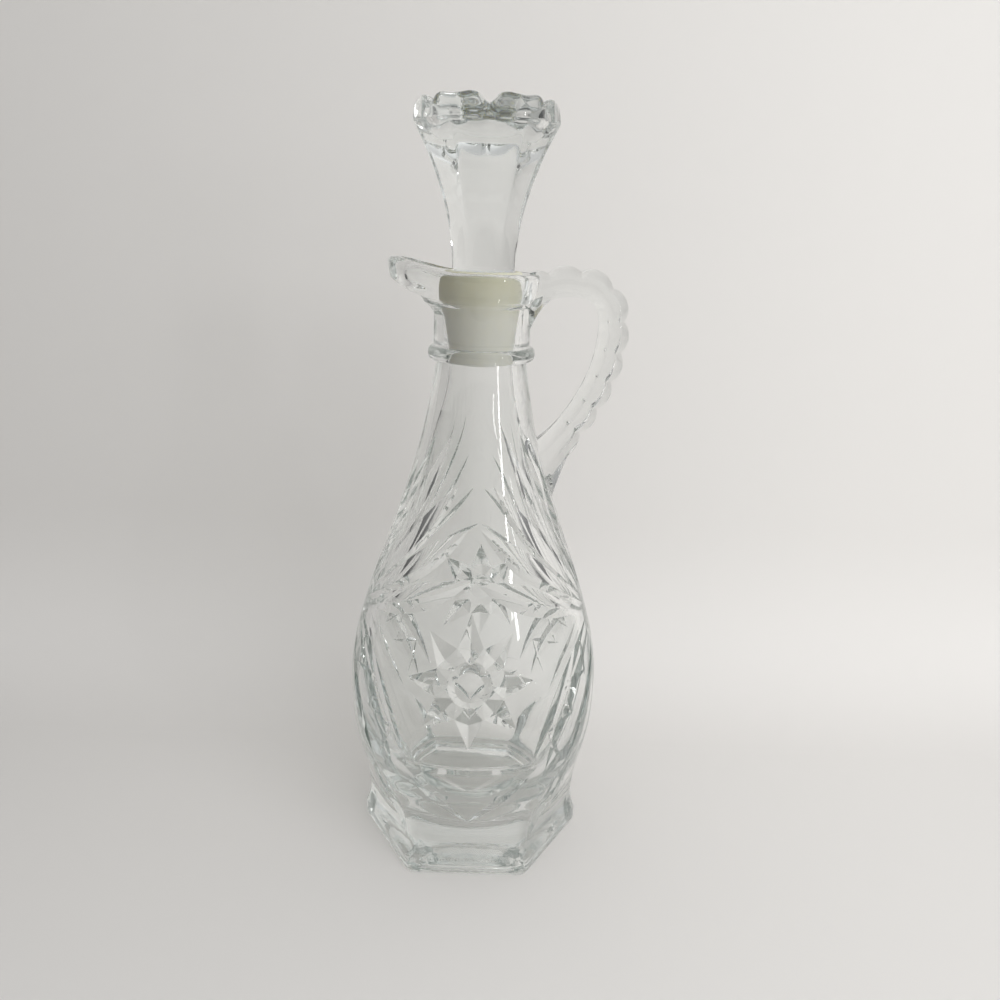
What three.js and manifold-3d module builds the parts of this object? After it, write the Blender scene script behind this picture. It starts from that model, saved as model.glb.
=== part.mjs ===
// A pressed-glass cruet for oil or vinegar: a hollow glass bottle with a pouring lip and a loop handle,
// and a solid glass stopper whose peg sits in a milky plastic sleeve in the bottle's mouth.
// Millimetres, +Z up. The origin is the centre of the foot's underside, the pouring lip points to -X,
// the handle to +X, and the two star panels face -Y (the front) and +Y (the back).
import * as THREE from "three";
import { mergeVertices } from "three/addons/utils/BufferGeometryUtils.js";
import Module from "manifold-3d";

const wasm = await Module();
wasm.setup();

const { degToRad, smoothstep } = THREE.MathUtils;

// Foot: a six-sided block with one corner towards the handle
const FOOT_SIDES = 6;
const FOOT_CORNER_RADIUS = 30.8;
const FOOT_BAND_HEIGHT = 4;
const FOOT_EDGE_WIDTH = 0.8;
const SIX_SIDES_HEIGHT = 34; // height over which the six sides blend into the round belly

// Body, from the foot up: radii, and the length of each stretch
const WAIST_RADIUS = 29.4;
const WAIST_LENGTH = 6; // from the foot's band up to the waist
const BELLY_RADIUS = 33.6;
const FLANK_LENGTH = 37; // from the waist up to the belly
const BELLY_EASE_LENGTH = 24; // how far the belly's upright direction carries into the shoulder
const BELLY_DROP_LENGTH = 20; // how far it carries down towards the waist
const WAIST_EASE_LENGTH = 6; // how far the waist's upright direction carries up
const NECK_RADIUS = 11.3;
const SHOULDER_LENGTH = 86.6; // from the belly up to the bead
const NECK_EASE_LENGTH = 40; // how far the neck's taper carries down into the shoulder
const NECK_TAPER = 0.13; // millimetres of radius for each millimetre of height
const BEAD_RADIUS = 13.5;
const BEAD_HEIGHT = 3.6;
const MOUTH_RADIUS = 12.1;
const MOUTH_LENGTH = 10.8;
const COLLAR_STEP_WIDTH = 0.8;
const COLLAR_STEP_HEIGHT = 0.4;
const RIM_RADIUS = 14.4;
const RIM_LENGTH = 7.2;
const LIP_RADIUS = 1.1;

// Pouring lip
const SPOUT_REACH = 9;
const SPOUT_HEIGHT = 3.2;
const SPOUT_SPREAD = 30; // degrees to each side over which the lip falls away
const SPOUT_START_DEPTH = 3; // below the collar
const SPOUT_END_HEIGHT = 3.2; // height of the lip's upright end, below the rim

// Hollow
const FLOOR_HEIGHT = 9.5;
const FLOOR_EDGE_RADIUS = 6;
const WALL_THICKNESS = 4.4;
const NECK_BORE_RADIUS = 8;
const MOUTH_BORE_RADIUS = 9.95;

// Handle, measured in its own plane
const HANDLE_REACH = 33; // from the bottle's axis to the middle of the bar
const HANDLE_CREST_HEIGHT = 3.2; // how far the bar's crest stands above its upper root
const HANDLE_DROP_LENGTH = 42; // from the widest point of the bar down to its lower root
const HANDLE_ROOT_HEIGHT = 4.7; // below the rim
const HANDLE_SHOULDER_HEIGHT = 12.2; // from the rim down to the bar's widest point
const HANDLE_THICKNESS = 7.6;
const HANDLE_BOW_OFFSET = 4.5; // how far the lower run bows out from a straight line, along X and Z each
const HANDLE_WIDTH = 9;
const HANDLE_EDGE_RADIUS = 2;
const HANDLE_FLARE_THICKNESS = 3.5; // extra half thickness at the lower root
const HANDLE_ROOT_DEPTH = 9; // how deep the lower root's middle line starts inside the bottle
const HANDLE_WEB_HEIGHT = 6; // how far the web under the upper root reaches down
const HANDLE_NOTCHES = 11;
const HANDLE_NOTCH_DEPTH = 1.2;
const UPPER_ROOT_SHARE = 0.1; // share of the bar's length over which the web runs out
const LOWER_ROOT_SHARE = 0.28; // the same for the flare at the lower root

// Sleeve
const FIT_GAP = 0.3; // clearance wherever two pieces meet
const SLEEVE_PROUD_HEIGHT = 0.3; // height of the sleeve's top above the rim
const SLEEVE_LENGTH = 22.8;
const SLEEVE_WALL_THICKNESS = 2.2;
const SLEEVE_FLOOR_THICKNESS = 1.8;
const SLEEVE_EDGE_WIDTH = 0.7;

// Stopper
const STEM_RADIUS = 7.7;
const TRUMPET_LENGTH = 33.4;
const TRUMPET_RADIUS = 17.6;
const TRUMPET_EASE_LENGTH = 15.5; // how far the stem's upright direction carries into the trumpet
const TRUMPET_EASE_WIDTH = 0.5;
const TRUMPET_FLARE_LENGTH = 4; // how far down the crown's outward slope begins
const TRUMPET_FLARE_WIDTH = 2.4;
const CROWN_BAND_HEIGHT = 1.4;
const CROWN_BEVEL_WIDTH = 1.6;
const CROWN_TOP_WIDTH = 3.2; // width of the crown's flat top, inside its bevel
const CROWN_DISH_DEPTH = 2.4;
const LOBE_HEIGHT = 2.5;
const LOBE_NOTCH_DEPTH = 0.9;
const LOBE_DIP = 0.25; // share of the lobe's height lost between its peak and its round
const NOTCH_SPREAD = 11; // degrees from the middle of a crown notch to the lobe's peak beside it
const STOPPER_SIDES = 6;
const STOPPER_FLAT = 0.75; // how nearly the trumpet's sides are flat
const STOPPER_TURN = 3; // degrees, how the stopper happens to be turned
const PEG_TAPER = 0.06;
const PEG_EDGE_WIDTH = 0.8;

// Pressed ornament: angles in degrees from the middle of a star panel, heights above the foot's underside
const STAR_HEIGHT = 59;
const STAR_RADIUS = 17;
const STAR_RAYS = 8;
const RAY_INNER_LENGTH = 4.5; // from the star's centre to a ray's inner point
const RAY_SHOULDER_LENGTH = 8.8; // from the star's centre to a ray's widest point
const RAY_HALF_WIDTH = 3.5;
const RAY_HEIGHT = 2.4;
const BUTTON_RADIUS = 5.8;
const BUTTON_TOP_RADIUS = 3.6;
const BUTTON_HEIGHT = 1.6;
const BUTTON_DEPTH = 0.6;
const BUTTON_SIDES = 16;
const FAN = { angle: 90, height: 67 };
const FAN_BARE = 0.13; // share of each leaf's way that stays bare around the fan's centre
const UPPER_LEAF_TIPS = [
  { angle: 1, height: 83 },
  { angle: 4, height: 95 },
  { angle: 14, height: 105 },
  { angle: 26, height: 117 },
  { angle: 46, height: 117 },
  { angle: 68, height: 110 },
];
const MIDDLE_LEAF_HEIGHT = 97; // of the tip of the leaf that stands upright on the fan's centre
const LEAF_HALF_WIDTH = 3.4;
const LEAF_DEPTH = 1.5;
const LEAF_WIDEST = 0.6; // share of a leaf's way where it is widest
const CUT_LIFT_HEIGHT = 0.25; // how far a cut's widest level stands off the skin
// Three bowed bands on each side of a panel, the first along its edge: top, pull and foot of each
const BANDS = [
  [{ angle: 78, height: 67 }, { angle: 43, height: 63 }, { angle: 29, height: 35.5 }],
  [{ angle: 80, height: 65 }, { angle: 46, height: 58 }, { angle: 37, height: 32 }],
  [{ angle: 83, height: 62 }, { angle: 62, height: 50 }, { angle: 51, height: 31 }],
];
const [[, , PANEL_CORNER]] = BANDS;
const BAND_HALF_WIDTH = 1.8;
const BAND_DEPTH = 1;
const BAND_WIDEST = 0.55;
const CROSSINGS = [0.26, 0.4, 0.54, 0.68, 0.82]; // shares of the middle band's way
const CROSSING_REACH = 4.2;
const CROSSING_SLANT = 0.9;
const CROSSING_HALF_WIDTH = 0.8;
const CROSSING_DEPTH = 0.8;
const PANEL_POINT_HEIGHT = 17; // height of the point under each star panel
const PANEL_POINT_DROP_HEIGHT = 3.5; // how far below the panel's corners the two lines to it begin
const EDGE_HALF_WIDTH = 1.2;
const EDGE_DEPTH = 0.9;
const FOOT_LEAF = { low: { angle: 34, height: 9 }, high: { angle: 56, height: 31 } };
const FOOT_LEAF_HALF_WIDTH = 4.4;
const FOOT_LEAF_DEPTH = 1.2;
const SIDE_LEAF = { low: 10, high: 47 };
const MIDDLE = 0.5; // where a cut is widest that is alike at both ends

// Fineness of the faceted surfaces
const BODY_COLUMNS = 36;
const STOPPER_COLUMNS = 72;
const SLEEVE_COLUMNS = 36;
const LEAF_STATIONS = 6;
const LEAF_SIDES = 4; // two side edges, a back and a keel
const ARC_STEPS = 3;
const BELLY_STEPS = 6;
const SHOULDER_STEPS = 11;
const HOLLOW_SHOULDER_STEPS = 9;
const HOLLOW_BELLY_STEPS = 4;
const TRUMPET_STEPS = 10;
const NOTCH_STEPS = 6;
const INNER_EDGE_STRIDE = 3; // the smooth inner edge of the handle needs fewer points
const BEVEL_STEPS = 2;
const MERGE_DISTANCE = 1e-3;
const SLOPE_STEP = 0.5;

// Heights that follow from the sizes above
const WAIST_HEIGHT = FOOT_BAND_HEIGHT + WAIST_LENGTH;
const BELLY_HEIGHT = WAIST_HEIGHT + FLANK_LENGTH;
const NECK_TOP = BELLY_HEIGHT + SHOULDER_LENGTH;
const COLLAR_HEIGHT = NECK_TOP + BEAD_HEIGHT + MOUTH_LENGTH;
const RIM_HEIGHT = COLLAR_HEIGHT + RIM_LENGTH;
const SLEEVE_TOP = RIM_HEIGHT + SLEEVE_PROUD_HEIGHT;
const SLEEVE_BOTTOM = SLEEVE_TOP - SLEEVE_LENGTH;
const STOPPER_SEAT = SLEEVE_TOP + FIT_GAP;
const SLEEVE_TOP_RADIUS = MOUTH_BORE_RADIUS - FIT_GAP;
const SLEEVE_BORE_RADIUS = SLEEVE_TOP_RADIUS - SLEEVE_WALL_THICKNESS;

const point = (x, y) => new THREE.Vector2(x, y);

function bend(divisions, start, startPull, endPull, end) {
  return new THREE.CubicBezierCurve(start, startPull, endPull, end).getPoints(divisions);
}

function arc(divisions, start, corner, end) {
  return new THREE.QuadraticBezierCurve(start, corner, end).getPoints(divisions);
}

// Each stretch starts where the one before it ended, so its first point is left out.
function joined(...stretches) {
  return stretches.reduce((all, next) => all.concat(next.slice(1)));
}

function solidFrom(geometry) {
  const bare = new THREE.BufferGeometry();
  bare.setAttribute("position", geometry.getAttribute("position"));
  bare.setIndex(geometry.getIndex());
  const merged = mergeVertices(bare, MERGE_DISTANCE);
  return new wasm.Manifold(
    new wasm.Mesh({
      numProp: 3,
      vertProperties: merged.getAttribute("position").array,
      triVerts: new Uint32Array(merged.getIndex().array),
    }),
  );
}

function geometryFrom(solid) {
  const mesh = solid.getMesh();
  const geometry = new THREE.BufferGeometry();
  geometry.setAttribute("position", new THREE.BufferAttribute(mesh.vertProperties, 3));
  geometry.setIndex(new THREE.BufferAttribute(mesh.triVerts, 1));
  geometry.computeVertexNormals();
  return geometry;
}

function moveVertices(geometry, move) {
  const position = geometry.getAttribute("position");
  const at = new THREE.Vector3();
  for (let i = 0; i < position.count; i++) {
    at.fromBufferAttribute(position, i);
    const moved = move(at, i);
    position.setXYZ(i, moved.x, moved.y, moved.z);
  }
  return geometry;
}

// Turns an outline about the Z axis. place puts each point, given its radius, its angle from the front,
// its height and its row in the outline.
function turned(outline, columns, place) {
  const geometry = new THREE.LatheGeometry(outline, columns).rotateX(Math.PI / 2);
  return moveVertices(geometry, (at, i) => {
    const row = i % outline.length;
    const { x: radius, y: height } = outline[row];
    const angle = Math.atan2(at.x, -at.y);
    const placed = place(radius, angle, height, row);
    return onAxis(placed.radius, angle, placed.height);
  });
}

function onAxis(radius, angle, height) {
  return new THREE.Vector3(radius * Math.sin(angle), -radius * Math.cos(angle), height);
}

// How far a regular polygon's side lies inside its corner circle at an angle, as a factor.
function sideFactor(angle, sides) {
  const step = (2 * Math.PI) / sides;
  const offCentre = angle - step * Math.round(angle / step);
  return Math.cos(step / 2) / Math.cos(offCentre);
}

// The bottle's outside from the foot's edge to the neck's top, rising all the way.
function bodyOutline() {
  const bandTop = point(FOOT_CORNER_RADIUS, FOOT_BAND_HEIGHT);
  const waist = point(WAIST_RADIUS, WAIST_HEIGHT);
  const belly = point(BELLY_RADIUS, BELLY_HEIGHT);
  const neck = point(NECK_RADIUS, NECK_TOP);
  return joined(
    [point(FOOT_CORNER_RADIUS, FOOT_EDGE_WIDTH), bandTop],
    arc(ARC_STEPS, bandTop, point(WAIST_RADIUS, (FOOT_BAND_HEIGHT + WAIST_HEIGHT) / 2), waist),
    bend(
      BELLY_STEPS,
      waist,
      point(WAIST_RADIUS, WAIST_HEIGHT + WAIST_EASE_LENGTH),
      point(BELLY_RADIUS, BELLY_HEIGHT - BELLY_DROP_LENGTH),
      belly,
    ),
    bend(
      SHOULDER_STEPS,
      belly,
      point(BELLY_RADIUS, BELLY_HEIGHT + BELLY_EASE_LENGTH),
      point(NECK_RADIUS + NECK_EASE_LENGTH * NECK_TAPER, NECK_TOP - NECK_EASE_LENGTH),
      neck,
    ),
  );
}

const skinOutline = bodyOutline();

function skinRadius(angle, height) {
  const next = skinOutline.findIndex((at) => at.y > height);
  const above = skinOutline[next < 0 ? skinOutline.length - 1 : Math.max(next, 1)];
  const below = skinOutline[skinOutline.indexOf(above) - 1];
  const share = (height - below.y) / (above.y - below.y);
  return sixSided(below.x + share * (above.x - below.x), angle, height);
}

function sixSided(radius, angle, height) {
  const flat = 1 - smoothstep(height, FOOT_BAND_HEIGHT, FOOT_BAND_HEIGHT + SIX_SIDES_HEIGHT);
  return radius * (1 - flat * (1 - sideFactor(angle, FOOT_SIDES)));
}

// The pouring lip pulls the rim out and up around -X.
function withSpout(radius, angle, height) {
  const offSpout = Math.abs(Math.atan2(Math.cos(angle), -Math.sin(angle)));
  const share =
    smoothstep(height, COLLAR_HEIGHT - SPOUT_START_DEPTH, RIM_HEIGHT - SPOUT_END_HEIGHT) *
    Math.exp(-((offSpout / degToRad(SPOUT_SPREAD)) ** 2));
  return { radius: radius + SPOUT_REACH * share, height: height + SPOUT_HEIGHT * share };
}

function placeOutside(radius, angle, height) {
  return withSpout(sixSided(radius, angle, height), angle, height);
}

// Bead, mouth, collar step and flared rim, from the neck's top to the outer edge of the lip
function mouthOutline() {
  const beadMiddle = NECK_TOP + BEAD_HEIGHT / 2;
  const beadTop = point(MOUTH_RADIUS, NECK_TOP + BEAD_HEIGHT);
  const bead = point(BEAD_RADIUS, beadMiddle);
  const flare = point(MOUTH_RADIUS + COLLAR_STEP_WIDTH, COLLAR_HEIGHT + COLLAR_STEP_HEIGHT);
  return joined(
    arc(ARC_STEPS, point(NECK_RADIUS, NECK_TOP), point(BEAD_RADIUS, NECK_TOP), bead),
    arc(ARC_STEPS, bead, point(BEAD_RADIUS, NECK_TOP + BEAD_HEIGHT), beadTop),
    [
      beadTop,
      point(MOUTH_RADIUS, COLLAR_HEIGHT - SPOUT_START_DEPTH),
      point(MOUTH_RADIUS, COLLAR_HEIGHT),
      flare,
    ],
    arc(
      ARC_STEPS,
      flare,
      point(RIM_RADIUS, COLLAR_HEIGHT + RIM_LENGTH / 3),
      point(RIM_RADIUS, RIM_HEIGHT - LIP_RADIUS),
    ),
  );
}

// The tapered mouth's radius, which the sleeve follows
function mouthBore(height) {
  const share = (height - NECK_TOP) / (COLLAR_HEIGHT - NECK_TOP);
  return NECK_BORE_RADIUS + share * (MOUTH_BORE_RADIUS - NECK_BORE_RADIUS);
}

// The hollow, from the lip's top down to the floor's centre
function hollowOutline() {
  const lipInner = point(RIM_RADIUS - 2 * LIP_RADIUS, RIM_HEIGHT);
  const mouth = point(MOUTH_BORE_RADIUS, COLLAR_HEIGHT);
  const spoutStart = COLLAR_HEIGHT - SPOUT_START_DEPTH;
  const shoulder = point(NECK_BORE_RADIUS, NECK_TOP - WALL_THICKNESS);
  const belly = point(BELLY_RADIUS - WALL_THICKNESS, BELLY_HEIGHT);
  const floorEdge = WAIST_RADIUS * sideFactor(0, FOOT_SIDES) - WALL_THICKNESS;
  const sideFoot = point(floorEdge, FLOOR_HEIGHT + FLOOR_EDGE_RADIUS);
  const floor = point(floorEdge - FLOOR_EDGE_RADIUS, FLOOR_HEIGHT);
  return joined(
    arc(ARC_STEPS, lipInner, point(MOUTH_BORE_RADIUS, (RIM_HEIGHT + COLLAR_HEIGHT) / 2), mouth),
    [mouth, point(mouthBore(spoutStart), spoutStart), point(NECK_BORE_RADIUS, NECK_TOP), shoulder],
    bend(
      HOLLOW_SHOULDER_STEPS,
      shoulder,
      point(NECK_BORE_RADIUS + NECK_EASE_LENGTH * NECK_TAPER, shoulder.y - NECK_EASE_LENGTH),
      point(belly.x, BELLY_HEIGHT + BELLY_EASE_LENGTH),
      belly,
    ),
    bend(
      HOLLOW_BELLY_STEPS,
      belly,
      point(belly.x, BELLY_HEIGHT - BELLY_DROP_LENGTH),
      point(floorEdge, sideFoot.y + WAIST_EASE_LENGTH),
      sideFoot,
    ),
    arc(ARC_STEPS, sideFoot, point(floorEdge, FLOOR_HEIGHT), floor),
    [floor, point(0, FLOOR_HEIGHT)],
  );
}

function outsideOutline() {
  const underside = [point(0, 0), point(FOOT_CORNER_RADIUS - FOOT_EDGE_WIDTH, 0), skinOutline[0]];
  return joined(underside, skinOutline, mouthOutline());
}

function plainBottle() {
  const outside = outsideOutline();
  const lipOuter = outside[outside.length - 1];
  const lipTop = point(RIM_RADIUS - LIP_RADIUS, RIM_HEIGHT);
  const lip = arc(ARC_STEPS, lipOuter, point(RIM_RADIUS, RIM_HEIGHT), lipTop);
  const hollow = hollowOutline();
  const outline = joined(outside, lip, [lipTop, hollow[0]], hollow);
  const outsideRows = outside.length + lip.length;
  return turned(outline, BODY_COLUMNS, (radius, angle, height, row) =>
    row < outsideRows ? placeOutside(radius, angle, height) : withSpout(radius, angle, height),
  );
}

// The room that the bottle takes up, with its mouth filled and a gap around it.
function bottleRoom(gap) {
  const top = RIM_HEIGHT + gap;
  const closed = outsideOutline().concat([point(RIM_RADIUS, top), point(0, top)]);
  return turned(closed, BODY_COLUMNS, (radius, angle, height) =>
    radius > 0 ? placeOutside(radius + gap, angle, height) : { radius, height },
  );
}

// Ornament is drawn on a flat chart, with x along the belly's girth and y the height, and laid on the skin.
const chartPoint = ({ angle, height }) => point(degToRad(angle) * BELLY_RADIUS, height);

function onSkin(chart, raise) {
  const angle = chart.x / BELLY_RADIUS;
  const radius = skinRadius(angle, chart.y);
  const rise = skinRadius(angle, chart.y + SLOPE_STEP) - skinRadius(angle, chart.y - SLOPE_STEP);
  const slope = rise / (2 * SLOPE_STEP);
  const tilt = Math.hypot(1, slope);
  return onAxis(radius + raise / tilt, angle, chart.y - (raise * slope) / tilt);
}

const straight = (start, end) => new THREE.LineCurve(start, end);
const bowed = ([top, pull, foot]) => new THREE.QuadraticBezierCurve(top, pull, foot);

// Lays a form that is turned about its own long axis on the skin, along a path on the chart. Its side edges
// stand off the skin by lift, and its back and its keel by relief more and less.
function laidForm(outline, path, halfWidth, lift, relief) {
  const length = path.getLength();
  return moveVertices(new THREE.LatheGeometry(outline, LEAF_SIDES), (at) => {
    const share = Math.min(at.y / length, 1);
    const along = path.getTangentAt(share);
    const chart = path.getPointAt(share).addScaledVector(point(along.y, -along.x), at.x);
    return onSkin(chart, lift + (at.z * relief) / halfWidth);
  });
}

// A leaf-shaped V cut along a path on the chart, pointed at both ends. At the skin it is as wide as asked,
// so where its edges stand off the skin it is wider.
function leafCut(path, halfWidth, depth, widest) {
  const length = path.getLength();
  const power = Math.log(MIDDLE) / Math.log(widest);
  const relief = depth + CUT_LIFT_HEIGHT;
  const reach = (halfWidth * relief) / depth;
  const outline = [point(0, 0)];
  for (let i = 1; i < LEAF_STATIONS; i++) {
    const share = i / LEAF_STATIONS;
    outline.push(point(reach * Math.sin(Math.PI * share ** power), length * share));
  }
  outline.push(point(0, length));
  return laidForm(outline, path, reach, CUT_LIFT_HEIGHT, relief);
}

// One kite-shaped ray of a star, with a ridge from its inner to its outer point.
function starRay(centre, turn) {
  const tip = point(Math.sin(turn), Math.cos(turn)).multiplyScalar(STAR_RADIUS).add(centre);
  const outline = [
    point(0, RAY_INNER_LENGTH),
    point(RAY_HALF_WIDTH, RAY_SHOULDER_LENGTH),
    point(0, STAR_RADIUS),
  ];
  return laidForm(outline, straight(centre, tip), RAY_HALF_WIDTH, 0, RAY_HEIGHT);
}

function star(middleAngle) {
  const centre = chartPoint({ angle: middleAngle, height: STAR_HEIGHT });
  const thickness = BUTTON_HEIGHT + BUTTON_DEPTH;
  const button = new THREE.CylinderGeometry(BUTTON_TOP_RADIUS, BUTTON_RADIUS, thickness, BUTTON_SIDES);
  moveVertices(button, (at) => {
    const raise = at.y + (BUTTON_HEIGHT - BUTTON_DEPTH) / 2;
    return onSkin(point(centre.x + at.x, centre.y - at.z), raise);
  });
  let solid = solidFrom(button);
  for (let i = 0; i < STAR_RAYS; i++) {
    solid = solid.add(solidFrom(starRay(centre, (2 * Math.PI * i) / STAR_RAYS)));
  }
  return solid;
}

// Short cuts across the bands, slanting to and fro along the middle one.
function crossCuts(path) {
  return CROSSINGS.map((share, i) => {
    const centre = path.getPointAt(share);
    const forward = path.getTangentAt(share);
    const slant = i % 2 ? CROSSING_SLANT : -CROSSING_SLANT;
    const reach = point(forward.y, -forward.x).addScaledVector(forward, slant);
    reach.multiplyScalar(CROSSING_REACH);
    const across = straight(centre.clone().sub(reach), centre.clone().add(reach));
    return leafCut(across, CROSSING_HALF_WIDTH, CROSSING_DEPTH, MIDDLE);
  });
}

// The cuts around one star panel's right half; side is 1, or -1 for its mirror image.
function halfPanelCuts(middleAngle, side) {
  const at = ({ angle, height }) => chartPoint({ angle: middleAngle + side * angle, height });
  const fan = at(FAN);
  const cuts = UPPER_LEAF_TIPS.map((tip) => {
    const path = straight(fan.clone().lerp(at(tip), FAN_BARE), at(tip));
    return leafCut(path, LEAF_HALF_WIDTH, LEAF_DEPTH, LEAF_WIDEST);
  });
  const bands = BANDS.map((places) => bowed(places.map(at)));
  for (const band of bands) cuts.push(leafCut(band, BAND_HALF_WIDTH, BAND_DEPTH, BAND_WIDEST));
  cuts.push(...crossCuts(bands[1]));
  const lineTop = at({ ...PANEL_CORNER, height: PANEL_CORNER.height - PANEL_POINT_DROP_HEIGHT });
  const panelPoint = at({ angle: 0, height: PANEL_POINT_HEIGHT });
  cuts.push(leafCut(straight(lineTop, panelPoint), EDGE_HALF_WIDTH, EDGE_DEPTH, MIDDLE));
  const footPath = straight(at(FOOT_LEAF.low), at(FOOT_LEAF.high));
  cuts.push(leafCut(footPath, FOOT_LEAF_HALF_WIDTH, FOOT_LEAF_DEPTH, MIDDLE));
  return cuts;
}

function panelFootCut(middleAngle) {
  const { angle, height } = PANEL_CORNER;
  const left = chartPoint({ angle: middleAngle - angle, height });
  const right = chartPoint({ angle: middleAngle + angle, height });
  return leafCut(straight(left, right), EDGE_HALF_WIDTH, EDGE_DEPTH, MIDDLE);
}

// The two upright cuts between a star panel and the next: a leaf of the fan, and one above the foot.
function sideCuts(middleAngle) {
  const at = (height) => chartPoint({ angle: middleAngle + FAN.angle, height });
  const tip = at(MIDDLE_LEAF_HEIGHT);
  const leafPath = straight(at(FAN.height).lerp(tip, FAN_BARE), tip);
  const footPath = straight(at(SIDE_LEAF.low), at(SIDE_LEAF.high));
  return [
    leafCut(leafPath, LEAF_HALF_WIDTH, LEAF_DEPTH, LEAF_WIDEST),
    leafCut(footPath, FOOT_LEAF_HALF_WIDTH, FOOT_LEAF_DEPTH, MIDDLE),
  ];
}

function bottleBody() {
  let body = solidFrom(plainBottle());
  for (const middleAngle of [0, 180]) {
    const cuts = [
      ...halfPanelCuts(middleAngle, 1),
      ...halfPanelCuts(middleAngle, -1),
      panelFootCut(middleAngle),
      ...sideCuts(middleAngle),
    ];
    for (const cut of cuts) body = body.subtract(solidFrom(cut));
    body = body.add(star(middleAngle));
  }
  return geometryFrom(body);
}

// The handle's middle line, in the plane of X and Z, from inside the rim to inside the shoulder
function handlePath() {
  const upperRoot = point(MOUTH_BORE_RADIUS, RIM_HEIGHT - HANDLE_ROOT_HEIGHT);
  const widest = point(HANDLE_REACH, RIM_HEIGHT - HANDLE_SHOULDER_HEIGHT);
  const rootHeight = widest.y - HANDLE_DROP_LENGTH;
  const lowerRoot = point(skinRadius(Math.PI / 2, rootHeight) - HANDLE_ROOT_DEPTH, rootHeight);
  const crest = upperRoot.y + HANDLE_CREST_HEIGHT;
  const path = new THREE.CurvePath();
  path.add(
    new THREE.CubicBezierCurve(
      upperRoot,
      point((upperRoot.x + widest.x) / 3 + HANDLE_CREST_HEIGHT, crest + HANDLE_CREST_HEIGHT / 3),
      point(widest.x, crest + HANDLE_CREST_HEIGHT),
      widest,
    ),
  );
  path.add(
    new THREE.CubicBezierCurve(
      widest,
      point(widest.x, widest.y - HANDLE_DROP_LENGTH / 3),
      point(
        (widest.x + lowerRoot.x) / 2 + HANDLE_BOW_OFFSET,
        (widest.y + lowerRoot.y) / 2 - HANDLE_BOW_OFFSET,
      ),
      lowerRoot,
    ),
  );
  return path;
}

// The handle as seen from the front: a bar along the path, notched on its outer edge, thicker at its roots
function handleShape() {
  const path = handlePath();
  const steps = NOTCH_STEPS * HANDLE_NOTCHES;
  const outer = [];
  const inner = [];
  for (let i = 0; i <= steps; i++) {
    const share = i / steps;
    const middle = path.getPointAt(share);
    const along = path.getTangentAt(share);
    const out = point(-along.y, along.x);
    const nearLowerRoot = smoothstep(share, 1 - LOWER_ROOT_SHARE, 1);
    const web = HANDLE_WEB_HEIGHT * Math.max(1 - share / UPPER_ROOT_SHARE, 0) ** 2;
    const half = HANDLE_THICKNESS / 2 - HANDLE_EDGE_RADIUS + HANDLE_FLARE_THICKNESS * nearLowerRoot;
    const notch = HANDLE_NOTCH_DEPTH * (1 - Math.abs(Math.sin(Math.PI * share * HANDLE_NOTCHES)));
    outer.push(middle.clone().addScaledVector(out, half - notch));
    if (i % INNER_EDGE_STRIDE === 0) {
      inner.push(middle.clone().addScaledVector(out, -half).sub(point(0, web)));
    }
  }
  return new THREE.Shape(outer.concat(inner.reverse()));
}

function handle() {
  const bar = new THREE.ExtrudeGeometry(handleShape(), {
    depth: HANDLE_WIDTH - 2 * HANDLE_EDGE_RADIUS,
    bevelThickness: HANDLE_EDGE_RADIUS,
    bevelSize: HANDLE_EDGE_RADIUS,
    bevelSegments: BEVEL_STEPS,
  });
  bar.translate(0, 0, HANDLE_EDGE_RADIUS - HANDLE_WIDTH / 2).rotateX(Math.PI / 2);
  return geometryFrom(solidFrom(bar).subtract(solidFrom(bottleRoom(FIT_GAP))));
}

// The sleeve follows the tapered mouth, and is a cup that takes the stopper's peg.
function stopperSleeve() {
  const bottomRadius = Math.min(mouthBore(SLEEVE_BOTTOM), NECK_BORE_RADIUS) - FIT_GAP;
  const floor = SLEEVE_BOTTOM + SLEEVE_FLOOR_THICKNESS;
  const boreBottom = SLEEVE_BORE_RADIUS - PEG_TAPER * (SLEEVE_TOP - floor);
  const outline = [
    point(0, SLEEVE_BOTTOM),
    point(bottomRadius - SLEEVE_EDGE_WIDTH, SLEEVE_BOTTOM),
    point(bottomRadius, SLEEVE_BOTTOM + SLEEVE_EDGE_WIDTH),
    point(NECK_BORE_RADIUS - FIT_GAP, NECK_TOP),
    point(SLEEVE_TOP_RADIUS, COLLAR_HEIGHT),
    point(SLEEVE_TOP_RADIUS, SLEEVE_TOP - SLEEVE_EDGE_WIDTH),
    point(SLEEVE_TOP_RADIUS - SLEEVE_EDGE_WIDTH, SLEEVE_TOP),
    point(SLEEVE_BORE_RADIUS, SLEEVE_TOP),
    point(boreBottom, floor),
    point(0, floor),
  ];
  return new THREE.LatheGeometry(outline, SLEEVE_COLUMNS).rotateX(Math.PI / 2);
}

// The crown's lobes, from 0 in a notch to 1 on a peak: a notch over the middle of each side of the trumpet,
// a peak on both sides of it, and a slightly lower round between two peaks.
function lobeShare(angle) {
  const step = (2 * Math.PI) / STOPPER_SIDES;
  const offNotch = Math.abs(angle - step * Math.round(angle / step));
  const peak = degToRad(NOTCH_SPREAD);
  const dip = (1 + Math.cos((2 * Math.PI * (offNotch - peak)) / (step / 2 - peak))) / 2;
  return offNotch < peak ? smoothstep(offNotch, 0, peak) : 1 - LOBE_DIP * (1 - dip);
}

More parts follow.
